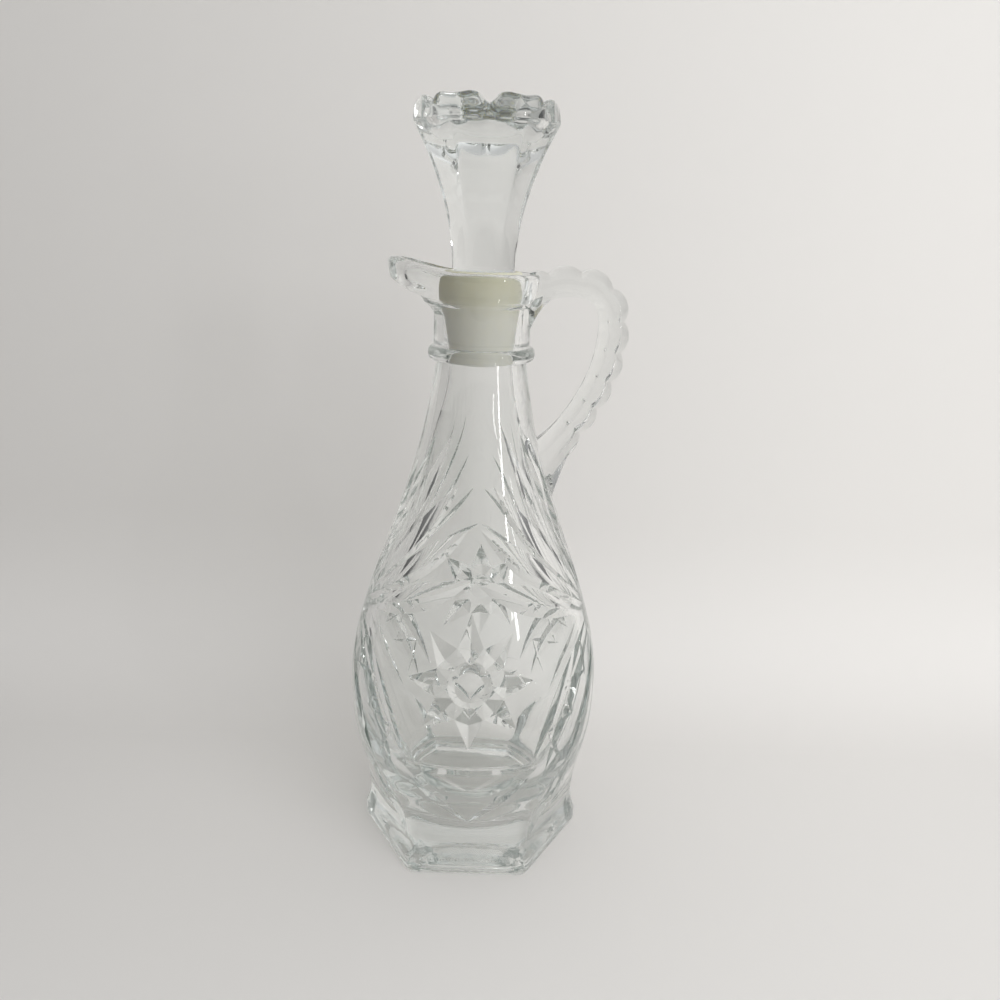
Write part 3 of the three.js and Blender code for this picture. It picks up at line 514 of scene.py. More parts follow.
class Ornament:
    """The pressed pattern: a star in a shield-shaped panel between two fans of leaves.

    Places are degrees from the front and millimetres up.
    """

    FAN = (90, 67)
    LEAF_TIPS = ((1, 83), (4, 95), (14, 105), (26, 117), (46, 117), (68, 110), (90, 97))
    LEAF_BARE = 0.13
    LEAF_WIDEST = 0.6
    LEAF_ROUNDNESS = 1.2
    RIBBONS = (  # top, pull and foot of each, the first along the panel's edge
        ((78, 67), (43, 63), (29, 35.5)),
        ((80, 65), (46, 58), (37, 32)),
        ((83, 62), (62, 50), (51, 31)),
    )
    RIBBON_WIDEST = 0.55
    RIBBON_STEPS = 48
    CROSSINGS = (0.26, 0.4, 0.54, 0.68, 0.82)
    CROSSING_REACH = 4.2 * MM
    CROSSING_SLANT = 0.9
    CROSSING_WIDTH = 0.8 * MM
    CROSSING_DEPTH = 0.8 * MM
    PANEL_POINT = (0, 17)
    PANEL_POINT_DROP = 3.5 * MM
    PANEL_FOOT_SHARE = 0.4
    SCOOPS = (((34, 9), (56, 31)), ((90, 10), (90, 47)))
    SCOOP_WIDTH = 4.4 * MM
    SCOOP_ROUNDNESS = 2.0
    RAY_INNER = 4.5 * MM
    RAY_SHOULDER = 8.8 * MM
    RAY_WIDTH = 3.5 * MM
    BUTTON_TOP = 3.6 * MM
    BUTTON_DISH = 0.3 * MM

    def __init__(self, bottle, ornament):
        self.o = o = ornament
        self.girth = bottle.belly_radius
        self.width = self.girth * np.pi / 2
        self.star_centre = self.at(0, o.star_height / MM)
        self.cuts = []
        fan = self.at(*self.FAN)
        for tip in self.LEAF_TIPS:
            tip = self.at(*tip)
            path = (fan + self.LEAF_BARE * (tip - fan), tip)
            self.cut(path, o.leaf_width, o.leaf_depth, self.LEAF_WIDEST, self.LEAF_ROUNDNESS)
        for ribbon in self.RIBBONS:
            path = arc(*[self.at(*place) for place in ribbon], steps=self.RIBBON_STEPS)
            self.cut(path, o.ribbon_width, o.ribbon_depth, self.RIBBON_WIDEST)
        self.cross_cuts(self.cuts[-2])
        corner = self.at(*self.RIBBONS[0][-1])
        under = (corner - (0, self.PANEL_POINT_DROP), self.at(*self.PANEL_POINT))
        self.cut(under, o.edge_width, o.edge_depth)
        self.cut((corner * (-1, 1), corner), o.edge_width, o.edge_depth * self.PANEL_FOOT_SHARE)
        for scoop in self.SCOOPS:
            path = [self.at(*place) for place in scoop]
            self.cut(path, self.SCOOP_WIDTH, o.scoop_depth, roundness=self.SCOOP_ROUNDNESS)

    def at(self, degrees, millimetres):
        return np.array((math.radians(degrees) * self.girth, millimetres * MM))

    def cut(self, *leaf, **more):
        self.cuts.append(Leaf(*leaf, **more))

    def cross_cuts(self, ribbon):
        """Short cuts across the three ribbons, slanting to and fro."""
        for i, places in enumerate(zip(*ribbon.along(np.array(self.CROSSINGS)), strict=True)):
            centre, forward, across = places
            slant = self.CROSSING_SLANT if i % 2 else -self.CROSSING_SLANT
            reach = self.CROSSING_REACH * (across + slant * forward)
            self.cut((centre - reach, centre + reach), self.CROSSING_WIDTH, self.CROSSING_DEPTH)

    def star_lines(self):
        """The rays' edges and ridges and the button's rings, in the right half of the star."""
        lines = []
        for angle in np.linspace(0, np.pi, self.o.star_rays // 2 + 1):
            along = np.array((np.sin(angle), np.cos(angle)))
            across = np.array((along[1], -along[0]))
            inner = self.star_centre + self.RAY_INNER * along
            middle = self.star_centre + self.RAY_SHOULDER * along
            tip = self.star_centre + self.o.star_radius * along
            lines.append([inner, tip])
            for side in (-1, 1):
                shoulder = middle + side * self.RAY_WIDTH * across
                lines += [[inner, shoulder, tip], [shoulder, middle]]
        for radius in (self.o.button_radius, self.BUTTON_TOP):
            ring = np.linspace(0, np.pi, BUTTON_STEPS + 1)
            lines.append(self.star_centre + radius * np.stack((np.sin(ring), np.cos(ring)), 1))
        return lines

    def star_rise(self, chart):
        """The star's height above the skin: a four-sided point for each ray, and the dished button."""
        o = self.o
        local = chart - self.star_centre
        r = np.hypot(*local.T)
        step = 2 * np.pi / o.star_rays
        angle = np.arctan2(local[:, 0], local[:, 1])
        off = np.abs(angle - step * np.round(angle / step))
        p, q = r * np.cos(off), r * np.sin(off)
        ends = (self.RAY_INNER, self.RAY_SHOULDER, o.star_radius)
        way = np.interp(p, ends, (0, 1, 0), left=0, right=0)
        ray = o.star_relief * np.maximum(way - q / self.RAY_WIDTH, 0)
        bevel = np.interp(r, (self.BUTTON_TOP, o.button_radius), (o.button_height, 0))
        dish = self.BUTTON_DISH * np.maximum(1 - (r / self.BUTTON_TOP) ** 2, 0)
        return np.maximum(ray, bevel - dish)

    def rise_at(self, chart):
        """How far the ornament stands off the plain skin."""
        rise = self.star_rise(chart)
        for leaf in self.cuts:
            cut = leaf.depth_at(chart)
            rise = np.where(cut > 0, np.minimum(rise, -cut), rise)
        return rise


class Chart:
    """Places and lines of the quarter chart, for a triangle mesh whose edges follow the lines."""

    def __init__(self, width, low, high):
        self.width, self.low, self.high = width, low, high
        self.places, self.edges, self.dense = [], [], []

    def line(self, line):
        """Adds those stretches of a line that lie on the chart."""
        line = np.array(line, float)
        keep = (line[:, 0] > -LINE_SLACK) & (line[:, 0] < self.width + LINE_SLACK)
        fine = []
        for i in range(len(line) - 1):
            if not (keep[i] and keep[i + 1]):
                continue
            parts = max(1, math.ceil(np.hypot(*(line[i + 1] - line[i])) / LINE_STEP))
            piece = line[i] + np.outer(np.linspace(0, 1, parts + 1), line[i + 1] - line[i])
            first = len(self.places)
            self.places.extend(piece)
            self.edges.extend((first + k, first + k + 1) for k in range(parts))
            fine.append(piece)
        if fine:
            self.dense.append(np.vstack(fine))

    def border(self):
        across = np.linspace(0, self.width, QUARTER_COLUMNS + 1)
        for height in (self.low, self.high):
            self.line(np.stack((across, np.full_like(across, height)), 1))
        up = np.linspace(self.low, self.high, int((self.high - self.low) / CHART_STEP))
        for edge in (0, self.width):
            self.line(np.stack((np.full_like(up, edge), up), 1))

    def triangles(self):
        """Fills the chart with triangles, whose corners stand in even rows away from the lines."""
        tree = kdtree.KDTree(sum(map(len, self.dense)))
        for i, place in enumerate(np.vstack(self.dense)):
            tree.insert((*place, 0), i)
        tree.balance()
        row_step = CHART_STEP * math.sqrt(3) / 2
        loose = []
        for j, height in enumerate(np.arange(self.low + row_step, self.high - row_step / 2, row_step)):
            for across in np.arange((j % 2) * CHART_STEP / 2, self.width, CHART_STEP):
                if tree.find((across, height, 0))[2] > LINE_ROOM:
                    loose.append((across, height))
        # the triangulation works better in millimetres
        places = [Vector(p) / MM for p in (*self.places, *loose)]
        made = delaunay_2d_cdt(places, self.edges, [], 0, CHART_SNAP)
        chart = np.array([p[:] for p in made[0]]) * MM
        for axis, edge in ((0, 0), (0, self.width), (1, self.low), (1, self.high)):
            chart[np.abs(chart[:, axis] - edge) < EDGE_SNAP, axis] = edge
        triangles = np.array(made[2])
        flat = (np.ptp(chart[triangles], axis=1) == 0).any(axis=1)
        return chart, triangles[~flat]


# The bottle's outlines and its mesh


class MeshPile:
    """Gathers the vertices and faces of one closed piece."""

    def __init__(self):
        self.points, self.faces, self.count = [], [], 0

    def add(self, points, faces):
        self.points.append(points)
        self.faces.extend([tuple(int(i) + self.count for i in face) for face in faces])
        self.count += len(points)

    def add_mesh(self, mesh):
        points = np.empty(3 * len(mesh.vertices))
        mesh.vertices.foreach_get("co", points)
        self.add(points.reshape(-1, 3), [face.vertices for face in mesh.polygons])
        bpy.data.meshes.remove(mesh)

    def rings(self, rows):
        """Rows of points that follow each other, each one a closed ring."""
        columns = len(rows[0])
        faces = []
        for i in range(0, (len(rows) - 1) * columns, columns):
            for j in range(columns):
                k = (j + 1) % columns
                faces.append((i + j, i + k, i + columns + k, i + columns + j))
        self.add(np.vstack(rows), faces)

    def cap(self, ring, height):
        """Closes a ring with a point on the axis."""
        last = len(ring)
        faces = [(i, (i + 1) % last, last) for i in range(last)]
        self.add(np.vstack([ring, [(0, 0, height)]]), faces)

    def mesh(self, name):
        mesh = bpy.data.meshes.new(name)
        mesh.from_pydata(np.vstack(self.points).tolist(), [], self.faces)
        form = bmesh.new()
        form.from_mesh(mesh)
        bmesh.ops.remove_doubles(form, verts=form.verts, dist=WELD)
        bmesh.ops.dissolve_degenerate(form, dist=WELD / 4, edges=form.edges)
        bmesh.ops.recalc_face_normals(form, faces=form.faces)
        open_edges = sum(not edge.is_manifold for edge in form.edges)
        if open_edges:
            raise RuntimeError(f"{name} has {open_edges} open edges")
        if form.calc_volume(signed=True) < 0:
            bmesh.ops.reverse_faces(form, faces=form.faces)
        form.to_mesh(mesh)
        form.free()
        return mesh


def hollow_outline(bottle):
    """The hollow, from the lip's inner edge down to the floor's level middle."""
    b = bottle
    rim = rim_height(b)
    lip = (b.rim_radius - 2 * b.lip_round, rim)
    mouth = (b.mouth_bore, b.collar_height)
    start = b.collar_height - SPOUT_START
    share_up = (start - b.neck_height) / (b.collar_height - b.neck_height)
    below_mouth = (b.neck_bore + share_up * (b.mouth_bore - b.neck_bore), start)
    neck = (b.neck_bore, b.neck_height)
    shoulder = (b.neck_bore, b.neck_height - b.wall)
    belly = (b.belly_radius - b.wall, b.belly_height)
    floor_edge = b.waist_radius * math.cos(math.pi / FOOT_SIDES) - b.wall
    side_foot = (floor_edge, b.floor_height + FLOOR_ROUND)
    return joined(
        arc(lip, (b.mouth_bore, (rim + b.collar_height) / 2), mouth, steps=8),
        [mouth, below_mouth, neck, shoulder],
        bend(
            shoulder,
            (b.neck_bore + NECK_SPREAD, shoulder[1] - NECK_EASE),
            (belly[0], b.belly_height + BELLY_EASE),
            belly,
            steps=30,
        ),
        bend(
            belly,
            (belly[0], b.belly_height - BELLY_DROP),
            (floor_edge, side_foot[1] + WAIST_EASE),
            side_foot,
            steps=14,
        ),
        arc(
            side_foot,
            (floor_edge - FLOOR_PULL, b.floor_height),
            (floor_edge * FLOOR_LEVEL, b.floor_height),
            steps=16,
        ),
    )


def mouth_outline(bottle):
    """Bead, mouth, collar, flared rim and lip, from the neck's top to the lip's top."""
    b = bottle
    rim = rim_height(b)
    neck = (b.neck_radius, b.neck_height)
    bead = (b.bead_radius, b.neck_height + b.bead_height / 2)
    bead_top = (b.mouth_radius, b.neck_height + b.bead_height)
    spout_start = (b.mouth_radius, b.collar_height - SPOUT_START)
    groove = (b.mouth_radius, b.collar_height - GROOVE_HEIGHT)
    flare = (b.mouth_radius + COLLAR_STEP, b.collar_height + COLLAR_STEP / 2)
    lip = (b.rim_radius, rim - b.lip_round)
    return joined(
        arc(neck, (b.bead_radius, b.neck_height), bead, steps=8),
        arc(bead, (b.bead_radius, bead_top[1]), bead_top, steps=8),
        np.linspace(bead_top, spout_start, num=4),
        np.linspace(spout_start, groove, num=5),
        arc(groove, (b.mouth_radius - GROOVE_DEPTH, b.collar_height), flare, steps=6),
        arc(flare, (b.rim_radius, b.collar_height + (rim - b.collar_height) / 3), lip, steps=12),
        arc(lip, (b.rim_radius, rim), (b.rim_radius - b.lip_round, rim), steps=6),
    )


def underside_outline(bottle):
    """The foot's lower edge, the ring it stands on and the slight hollow inside that."""
    radius, edge = bottle.foot_radius, bottle.foot_edge
    ring = radius - FOOT_RING
    rounding = arc((radius, edge), (radius, 0), (radius - edge, 0), steps=4)
    hollow_edge = (ring - FOOT_RING / 2, FOOT_HOLLOW)
    return joined(
        rounding,
        [rounding[-1], (ring, 0)],
        arc((ring, 0), (ring - FOOT_RING / 4, FOOT_HOLLOW), hollow_edge, steps=4),
        [hollow_edge, (radius / 4, FOOT_HOLLOW)],
    )


def unevenness(angle, height):
    """The inner wall of pressed glass is never quite even."""
    waves = sum(np.sin(times * angle + rise * height + shift) for times, rise, shift in WALL_WAVES)
    fading = smooth(height, *WALL_WAVE_START) * (1 - smooth(height, *WALL_WAVE_END))
    return WALL_WAVE_DEPTH * waves * fading


def bottle_mesh(bottle, ornament, material):
    """The bottle without its handle, and the outline of its hollow."""
    skin = Skin(bottle)
    pattern = Ornament(bottle, ornament)
    chart = Chart(pattern.width, bottle.foot_edge, bottle.neck_height)
    chart.border()
    for leaf in pattern.cuts:
        for line in leaf.lines():
            chart.line(line)
    for line in pattern.star_lines():
        chart.line(line)
    corner = pattern.width / 3
    chart.line([(corner, height) for height in (bottle.foot_edge, bottle.foot_height, CORNER_LINE)])
    chart.line([(0, bottle.foot_height), (pattern.width, bottle.foot_height)])
    places, triangles = chart.triangles()
    quarter = bpy.data.meshes.new("quarter")
    points = skin.place(places[:, 0] / pattern.girth, places[:, 1], pattern.rise_at(places))
    quarter.from_pydata(points.tolist(), [], triangles.tolist())
    pile = MeshPile()
    pile.add_mesh(grown(quarter, quarters_tree(), {"Weld": WELD, "Material": material}))
    around = turns(4 * QUARTER_COLUMNS)
    rows = [on_axis(skin.six_sided(r, around, z), around, z) for r, z in underside_outline(bottle)]
    pile.rings(rows[::-1])
    pile.cap(rows[-1], FOOT_HOLLOW)
    outer = [spouted(bottle, r, around, z) for r, z in mouth_outline(bottle)]
    hollow = hollow_outline(bottle)
    inner = [spouted(bottle, r + unevenness(around, z), around, z) for r, z in hollow]
    pile.rings(outer + inner)
    pile.cap(inner[-1], bottle.floor_height)
    return pile.mesh("bottle"), hollow


def handle_path(handle, skin):
    """The bar's middle line, from inside the rim's wall to inside the shoulder's."""
    h = handle
    upper = (UPPER_ROOT_START, h.root_height)
    widest = (h.reach, h.widest_height)
    lower = (float(skin.radius(np.pi / 2, h.foot_height)) - LOWER_ROOT_DEPTH, h.foot_height)
    crest = h.root_height + h.crest
    drop = h.widest_height - h.foot_height
    return joined(
        bend(
            upper,
            ((upper[0] + h.reach) / 3 + h.crest, crest + h.crest / 3),
            (h.reach, crest + h.crest),
            widest,
            steps=80,
        ),
        bend(
            widest,
            (h.reach, h.widest_height - drop / 3),
            ((h.reach + lower[0]) / 2 + h.bow, (h.widest_height + h.foot_height) / 2 - h.bow),
            lower,
            steps=80,
        ),
    )


def hollow_solid(hollow):
    """The bottle's hollow as a closed solid, to cut what reaches into it."""
    rows = [on_axis(r, turns(HOLLOW_COLUMNS), z) for r, z in hollow]
    pile = MeshPile()
    pile.rings(rows)
    pile.cap(rows[0], hollow[0][1])
    pile.cap(rows[-1], hollow[-1][1])
    return pile.mesh("hollow")


# Node trees


class Tree:
    """Adds nodes to a tree, so that a formula can be written as one."""

    def __init__(self, tree):
        self.tree = tree

    def put(self, value, socket):
        if isinstance(value, bpy.types.NodeSocket):
            self.tree.links.new(value, socket)
        else:
            socket.default_value = value

    def node(self, kind, inputs=None, **settings):
        """A node with these settings, and values or links for its inputs by name or number."""
        node = self.tree.nodes.new(kind)
        for name, value in settings.items():
            setattr(node, name, value)
        for name, value in (inputs or {}).items():
            self.put(value, node.inputs[name])
        return node

    def made(self, kind, inputs=None, **settings):
        """The first output of such a node."""
        return self.node(kind, inputs, **settings).outputs[0]

    def math(self, operation, *values):
        return self.made("ShaderNodeMath", dict(enumerate(values)), operation=operation)

    def times(self, first, *others):
        for other in others:
            first = self.math("MULTIPLY", first, other)
        return first

    def plus(self, first, second):
        return self.math("ADD", first, second)

    def minus(self, first, second):
        return self.math("SUBTRACT", first, second)

    def over(self, first, second):
        return self.math("DIVIDE", first, second)

    def dot(self, first, second):
        inputs = {0: first, 1: second}
        return self.node("ShaderNodeVectorMath", inputs, operation="DOT_PRODUCT").outputs["Value"]

    def sum(self, first, second):
        """The sum of two vectors."""
        return self.made("ShaderNodeVectorMath", {0: first, 1: second}, operation="ADD")

    def scaled(self, vector, scale):
        return self.made("ShaderNodeVectorMath", {0: vector, "Scale": scale}, operation="SCALE")

    def split(self, vector):
        return self.node("ShaderNodeSeparateXYZ", {"Vector": vector}).outputs

    def mixed(self, factor, first, second):
        """A colour between two."""
        node = self.node("ShaderNodeMix", {"Factor": factor}, data_type="RGBA")
        ends = [socket for socket in node.inputs if socket.type == "RGBA"]
        self.put(first, ends[0])
        self.put(second, ends[1])
        return next(socket for socket in node.outputs if socket.type == "RGBA")

    def eased(self, value, low, high):
        inputs = {"Value": value, "From Min": low, "From Max": high}
        return self.made("ShaderNodeMapRange", inputs, interpolation_type="SMOOTHSTEP")

    def noise(self, where, scale, detail):
        inputs = {"Vector": where, "Scale": scale, "Detail": detail}
        return self.node("ShaderNodeTexNoise", inputs).outputs["Fac"]


def geometry_tree(name, sizes=(), counts=()):
    """A geometry tree that takes a geometry, a material, and these sizes and counts by name."""
    group = bpy.data.node_groups.new(name, "GeometryNodeTree")
    kinds = {"Geometry": "Geometry", **dict.fromkeys(sizes, "Float"), **dict.fromkeys(counts, "Int")}
    kinds["Material"] = "Material"
    for label, kind in kinds.items():
        group.interface.new_socket(name=label, in_out="INPUT", socket_type=f"NodeSocket{kind}")
    group.interface.new_socket(name="Geometry", in_out="OUTPUT", socket_type="NodeSocketGeometry")
    tree = Tree(group)
    return tree, tree.node("NodeGroupInput").outputs, tree.node("NodeGroupOutput").inputs


def finished(tree, geometry, inp, out):
    """Ends a tree: smooth faces, no instances, one material."""
    shaded = tree.made("GeometryNodeSetShadeSmooth", {"Geometry": geometry})
    real = tree.made("GeometryNodeRealizeInstances", {"Geometry": shaded})
    painted = tree.made("GeometryNodeSetMaterial", {"Geometry": real, "Material": inp["Material"]})
    tree.put(painted, out["Geometry"])
    return tree.tree


def captured(tree, geometry, value, kind):
    """Keeps a value of each point through the steps that follow."""
    node = tree.node("GeometryNodeCaptureAttribute", domain="POINT")
    node.capture_items.new(kind, "Value")
    tree.put(geometry, node.inputs[0])
    tree.put(value, node.inputs[1])
    return node.outputs[0], node.outputs[1]


def quarters_tree():
    """A quarter of the bottle's skin, mirrored to the left and then to the back."""
    tree, inp, out = geometry_tree("four_quarters", sizes=("Weld",))
    skin = inp["Geometry"]
    for mirror in ((-1, 1, 1), (1, -1, 1)):
        copy = tree.made("GeometryNodeTransform", {"Geometry": skin, "Scale": mirror})
        copy = tree.made("GeometryNodeFlipFaces", {"Mesh": copy})
        both = tree.node("GeometryNodeJoinGeometry")
        tree.put(skin, both.inputs[0])
        tree.put(copy, both.inputs[0])
        skin = both.outputs[0]
    merged = tree.made("GeometryNodeMergeByDistance", {"Geometry": skin, "Distance": inp["Weld"]})
    return finished(tree, merged, inp, out)


def handle_tree():
    """A bar swept along its path, notched on its outer side and thicker at its roots."""
    tree, inp, out = geometry_tree(
        "notched_bar",
        sizes=("Thickness", "Width", "Flare", "Web", "Fillet", "Notch Depth"),
        counts=("Notches", "Stations"),
    )
    position = tree.made("GeometryNodeInputPosition")
    path = tree.made("GeometryNodeMeshToCurve", {"Mesh": inp["Geometry"]})
    path = tree.made("GeometryNodeResampleCurve", {"Curve": path, "Count": inp["Stations"]})
    path, middle = captured(tree, path, position, "VECTOR")
    path, along = captured(tree, path, tree.made("GeometryNodeInputTangent"), "VECTOR")
    factor = tree.node("GeometryNodeSplineParameter").outputs["Factor"]
    path, way = captured(tree, path, factor, "FLOAT")
    corner = math.pi / BAR_SIDES
    circle = {"Resolution": BAR_SIDES, "Radius": 1 / math.cos(corner)}
    ring = tree.made("GeometryNodeCurvePrimitiveCircle", circle)
    ring = tree.made("GeometryNodeTransform", {"Geometry": ring, "Rotation": (0, 0, corner)})
    edge = {"Curve": ring, "Radius": BAR_EDGE, "Count": BAR_EDGE_STEPS}
    ring = tree.made("GeometryNodeFilletCurve", edge, mode="POLY")
    ring, around = captured(tree, ring, position, "VECTOR")
    swept = {"Curve": path, "Profile Curve": ring, "Fill Caps": True}
    bar = tree.made("GeometryNodeCurveToMesh", swept)
    profile = tree.split(around)
    side, across = profile["X"], profile["Y"]
    inside = tree.math("LESS_THAN", side, 0.0)

    flare = tree.times(inp["Flare"], tree.eased(way, FLARE_START, 1.0))
    half = tree.plus(tree.times(inp["Thickness"], 0.5), flare)
    wave = tree.math("ABSOLUTE", tree.math("SINE", tree.times(way, math.pi, inp["Notches"])))
    wave = tree.math("POWER", tree.minus(1.0, wave), NOTCH_SHARPNESS)
    fading = tree.minus(1.0, tree.eased(way, *NOTCH_END))
    notched = tree.minus(half, tree.times(inp["Notch Depth"], fading, wave))
    reach = tree.made("ShaderNodeMix", {0: inside, 2: notched, 3: half}, data_type="FLOAT")

    near = tree.math("MAXIMUM", tree.minus(1.0, tree.over(way, WEB_END)), 0.0)
    web = tree.times(inp["Web"], tree.math("POWER", near, ROOT_CURVE))
    ending = tree.over(tree.minus(way, FILLET_START), 1 - FILLET_START)
    ending = tree.math("POWER", tree.math("MAXIMUM", ending, 0.0), ROOT_CURVE)
    fillet = tree.times(inp["Fillet"], ending, tree.math("MAXIMUM", side, 0.0))
    hang = tree.minus(tree.times(web, side, inside), fillet)

    run = tree.split(along)
    outwards = tree.made("ShaderNodeCombineXYZ", {"X": tree.times(run["Z"], -1.0), "Z": run["X"]})
    offset = tree.scaled(outwards, tree.times(side, reach))
    sideways = tree.times(across, inp["Width"], 0.5)
    sideways = tree.made("ShaderNodeCombineXYZ", {"Y": sideways, "Z": hang})
    place = tree.sum(middle, tree.sum(offset, sideways))
    moved = tree.made("GeometryNodeSetPosition", {"Geometry": bar, "Position": place})
    return finished(tree, moved, inp, out)


def turned_tree():
    """An outline turned about Z, with flat sides and a lobed crown where the outline's marks say."""
    made = bpy.data.node_groups.get("turned_form")
    if made:
        return made
    tree, inp, out = geometry_tree("turned_form", sizes=("Turn", "Corner"), counts=("Columns", "Sides"))
    outline = inp["Geometry"]
    rows = tree.node("GeometryNodeAttributeDomainSize", {"Geometry": outline}).outputs["Point Count"]
    columns = tree.plus(inp["Columns"], 1.0)
    grid = tree.made("GeometryNodeMeshGrid", {"Vertices X": rows, "Vertices Y": columns})
    index = tree.made("GeometryNodeInputIndex")
    row = tree.math("FLOOR", tree.over(tree.plus(index, 0.5), columns))
    column = tree.minus(index, tree.times(row, columns))

    def sampled(value, kind):
        inputs = {"Geometry": outline, "Value": value, "Index": row}
        return tree.made("GeometryNodeSampleIndex", inputs, data_type=kind, domain="POINT")

    def mark(name):
        node = tree.node("GeometryNodeInputNamedAttribute", {"Name": name}, data_type="FLOAT")
        return sampled(node.outputs["Attribute"], "FLOAT")

    spot = tree.split(sampled(tree.made("GeometryNodeInputPosition"), "FLOAT_VECTOR"))
    angle = tree.times(tree.over(column, inp["Columns"]), 2 * math.pi)
    step = tree.over(2 * math.pi, inp["Sides"])
    half_step = tree.times(step, 0.5)
    off = tree.minus(angle, tree.times(step, tree.math("ROUND", tree.over(angle, step))))
    side = tree.over(tree.math("COSINE", half_step), tree.math("COSINE", off))
    side = tree.math("SMOOTH_MIN", side, inp["Corner"], CORNER_SOFTNESS)
    inset = tree.times(mark("flat"), tree.minus(1.0, side))
    radius = tree.times(spot["X"], tree.minus(1.0, inset))
    curve = tree.node("ShaderNodeFloatCurve", {"Value": tree.over(tree.math("ABSOLUTE", off), half_step)})
    points = curve.mapping.curves[0].points
    points[0].location, points[1].location = LOBE_CURVE[0], LOBE_CURVE[-1]
    for place in LOBE_CURVE[1:-1]:
        points.new(*place)
    curve.mapping.update()
    lobe = curve.outputs[0]
    radius = tree.minus(radius, tree.times(mark("notch"), tree.minus(1.0, lobe)))
    height = tree.plus(spot["Z"], tree.times(mark("lift"), lobe))
    angle = tree.plus(angle, inp["Turn"])
    place = {
        "X": tree.times(radius, tree.math("SINE", angle)),
        "Y": tree.times(radius, -1.0, tree.math("COSINE", angle)),
        "Z": height,
    }
    place = tree.made("ShaderNodeCombineXYZ", place)
    moved = tree.made("GeometryNodeSetPosition", {"Geometry": grid, "Position": place})
    merged = tree.made("GeometryNodeMergeByDistance", {"Geometry": moved, "Distance": WELD})
    return finished(tree, merged, inp, out)


# From meshes to pieces


def chain(name, outline, marks=None):
    """An outline in the XZ plane as a mesh of edges, with marks on its points."""
    mesh = bpy.data.meshes.new(name)
    points = [(float(x), 0, float(z)) for x, z in outline]
    mesh.from_pydata(points, [(i, i + 1) for i in range(len(points) - 1)], [])
    for label, numbers in (marks or {}).items():
        layer = mesh.attributes.new(label, "FLOAT", "POINT")
        layer.data.foreach_set("value", np.array(numbers, np.float32))
    return mesh


def linked(name, data):
    """A new object in the scene."""
    made = bpy.data.objects.new(name, data)
    bpy.context.scene.collection.objects.link(made)
    return made


def grown(mesh, tree, values):
    """Runs a geometry tree on a mesh and returns the plain mesh that it makes."""
    holder = linked(mesh.name, mesh)
    modifier = holder.modifiers.new("form", "NODES")
    modifier.node_group = tree
    for item in tree.interface.items_tree:
        if item.in_out == "INPUT" and item.name in values:
            modifier[item.identifier] = values[item.name]
    return plain(holder)


def plain(holder):
    """The evaluated mesh of an object with modifiers; the object itself is removed."""
    bpy.context.view_layer.update()
    evaluated = holder.evaluated_get(bpy.context.evaluated_depsgraph_get())
    mesh = bpy.data.meshes.new_from_object(evaluated)
    old = holder.data
    bpy.data.objects.remove(holder)
    bpy.data.meshes.remove(old)
    form = bmesh.new()
    form.from_mesh(mesh)
    bmesh.ops.recalc_face_normals(form, faces=form.faces)
    if form.calc_volume(signed=True) < 0:
        bmesh.ops.reverse_faces(form, faces=form.faces)
    form.to_mesh(mesh)
    form.free()
    return mesh


def combined(first, second, operation):
    """Two closed meshes joined or cut."""
    pair = [linked(mesh.name, mesh) for mesh in (first, second)]
    modifier = pair[0].modifiers.new("cut", "BOOLEAN")
    modifier.operation = operation
    modifier.solver = "MANIFOLD"
    modifier.object = pair[1]
    mesh = plain(pair[0])
    bpy.data.objects.remove(pair[1])
    return mesh


def piece(name, mesh, material, body, slot, *nodes):
    """Makes a mesh the visible piece that stands for these nodes and moves with the body."""
    mesh.name = name
    mesh.materials.clear()
    mesh.materials.append(material)
    mesh.polygons.foreach_set("material_index", np.zeros(len(mesh.polygons), np.int32))
    mesh.shade_smooth()
    mesh.set_sharp_from_angle(angle=SHARP_ANGLE)
    made = linked(name, mesh)
    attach(made, body)
    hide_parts(*nodes)


# Materials


def surface_group():
    """Slight waves and a faint handling film, as a height, a film mask and a cloud of tone."""
    group = bpy.data.node_groups.get("handled_surface")
    if group:
        return group
    group = bpy.data.node_groups.new("handled_surface", "ShaderNodeTree")
    for label in ("Wave Scale", "Film Share"):
        group.interface.new_socket(name=label, in_out="INPUT", socket_type="NodeSocketFloat")
    for label in ("Height", "Film", "Cloud"):
        group.interface.new_socket(name=label, in_out="OUTPUT", socket_type="NodeSocketFloat")
    tree = Tree(group)
    inp = tree.node("NodeGroupInput").outputs
    out = tree.node("NodeGroupOutput").inputs
    where = tree.node("ShaderNodeTexCoord").outputs["Object"]
    wave = tree.noise(where, inp["Wave Scale"], WAVE_DETAIL)
    film = tree.noise(where, *FILM_NOISE)
    under = tree.minus(1.0, tree.eased(tree.split(where)["Z"], *STIPPLE_TOP))
    stipple = tree.times(tree.noise(where, *STIPPLE_NOISE), under, STIPPLE_SHARE)
    tree.put(tree.plus(wave, stipple), out["Height"])
    tree.put(tree.times(tree.eased(film, *FILM_RANGE), inp["Film Share"]), out["Film"])
    tree.put(tree.noise(where, *CLOUD_NOISE), out["Cloud"])
    return group


def new_material(name):
    """A material with its tree, its Principled BSDF and the inputs of its output."""
    material = bpy.data.materials.new(name)
    material.use_nodes = True
    nodes = material.node_tree.nodes
    return material, Tree(material.node_tree), nodes["Principled BSDF"], nodes["Material Output"].inputs


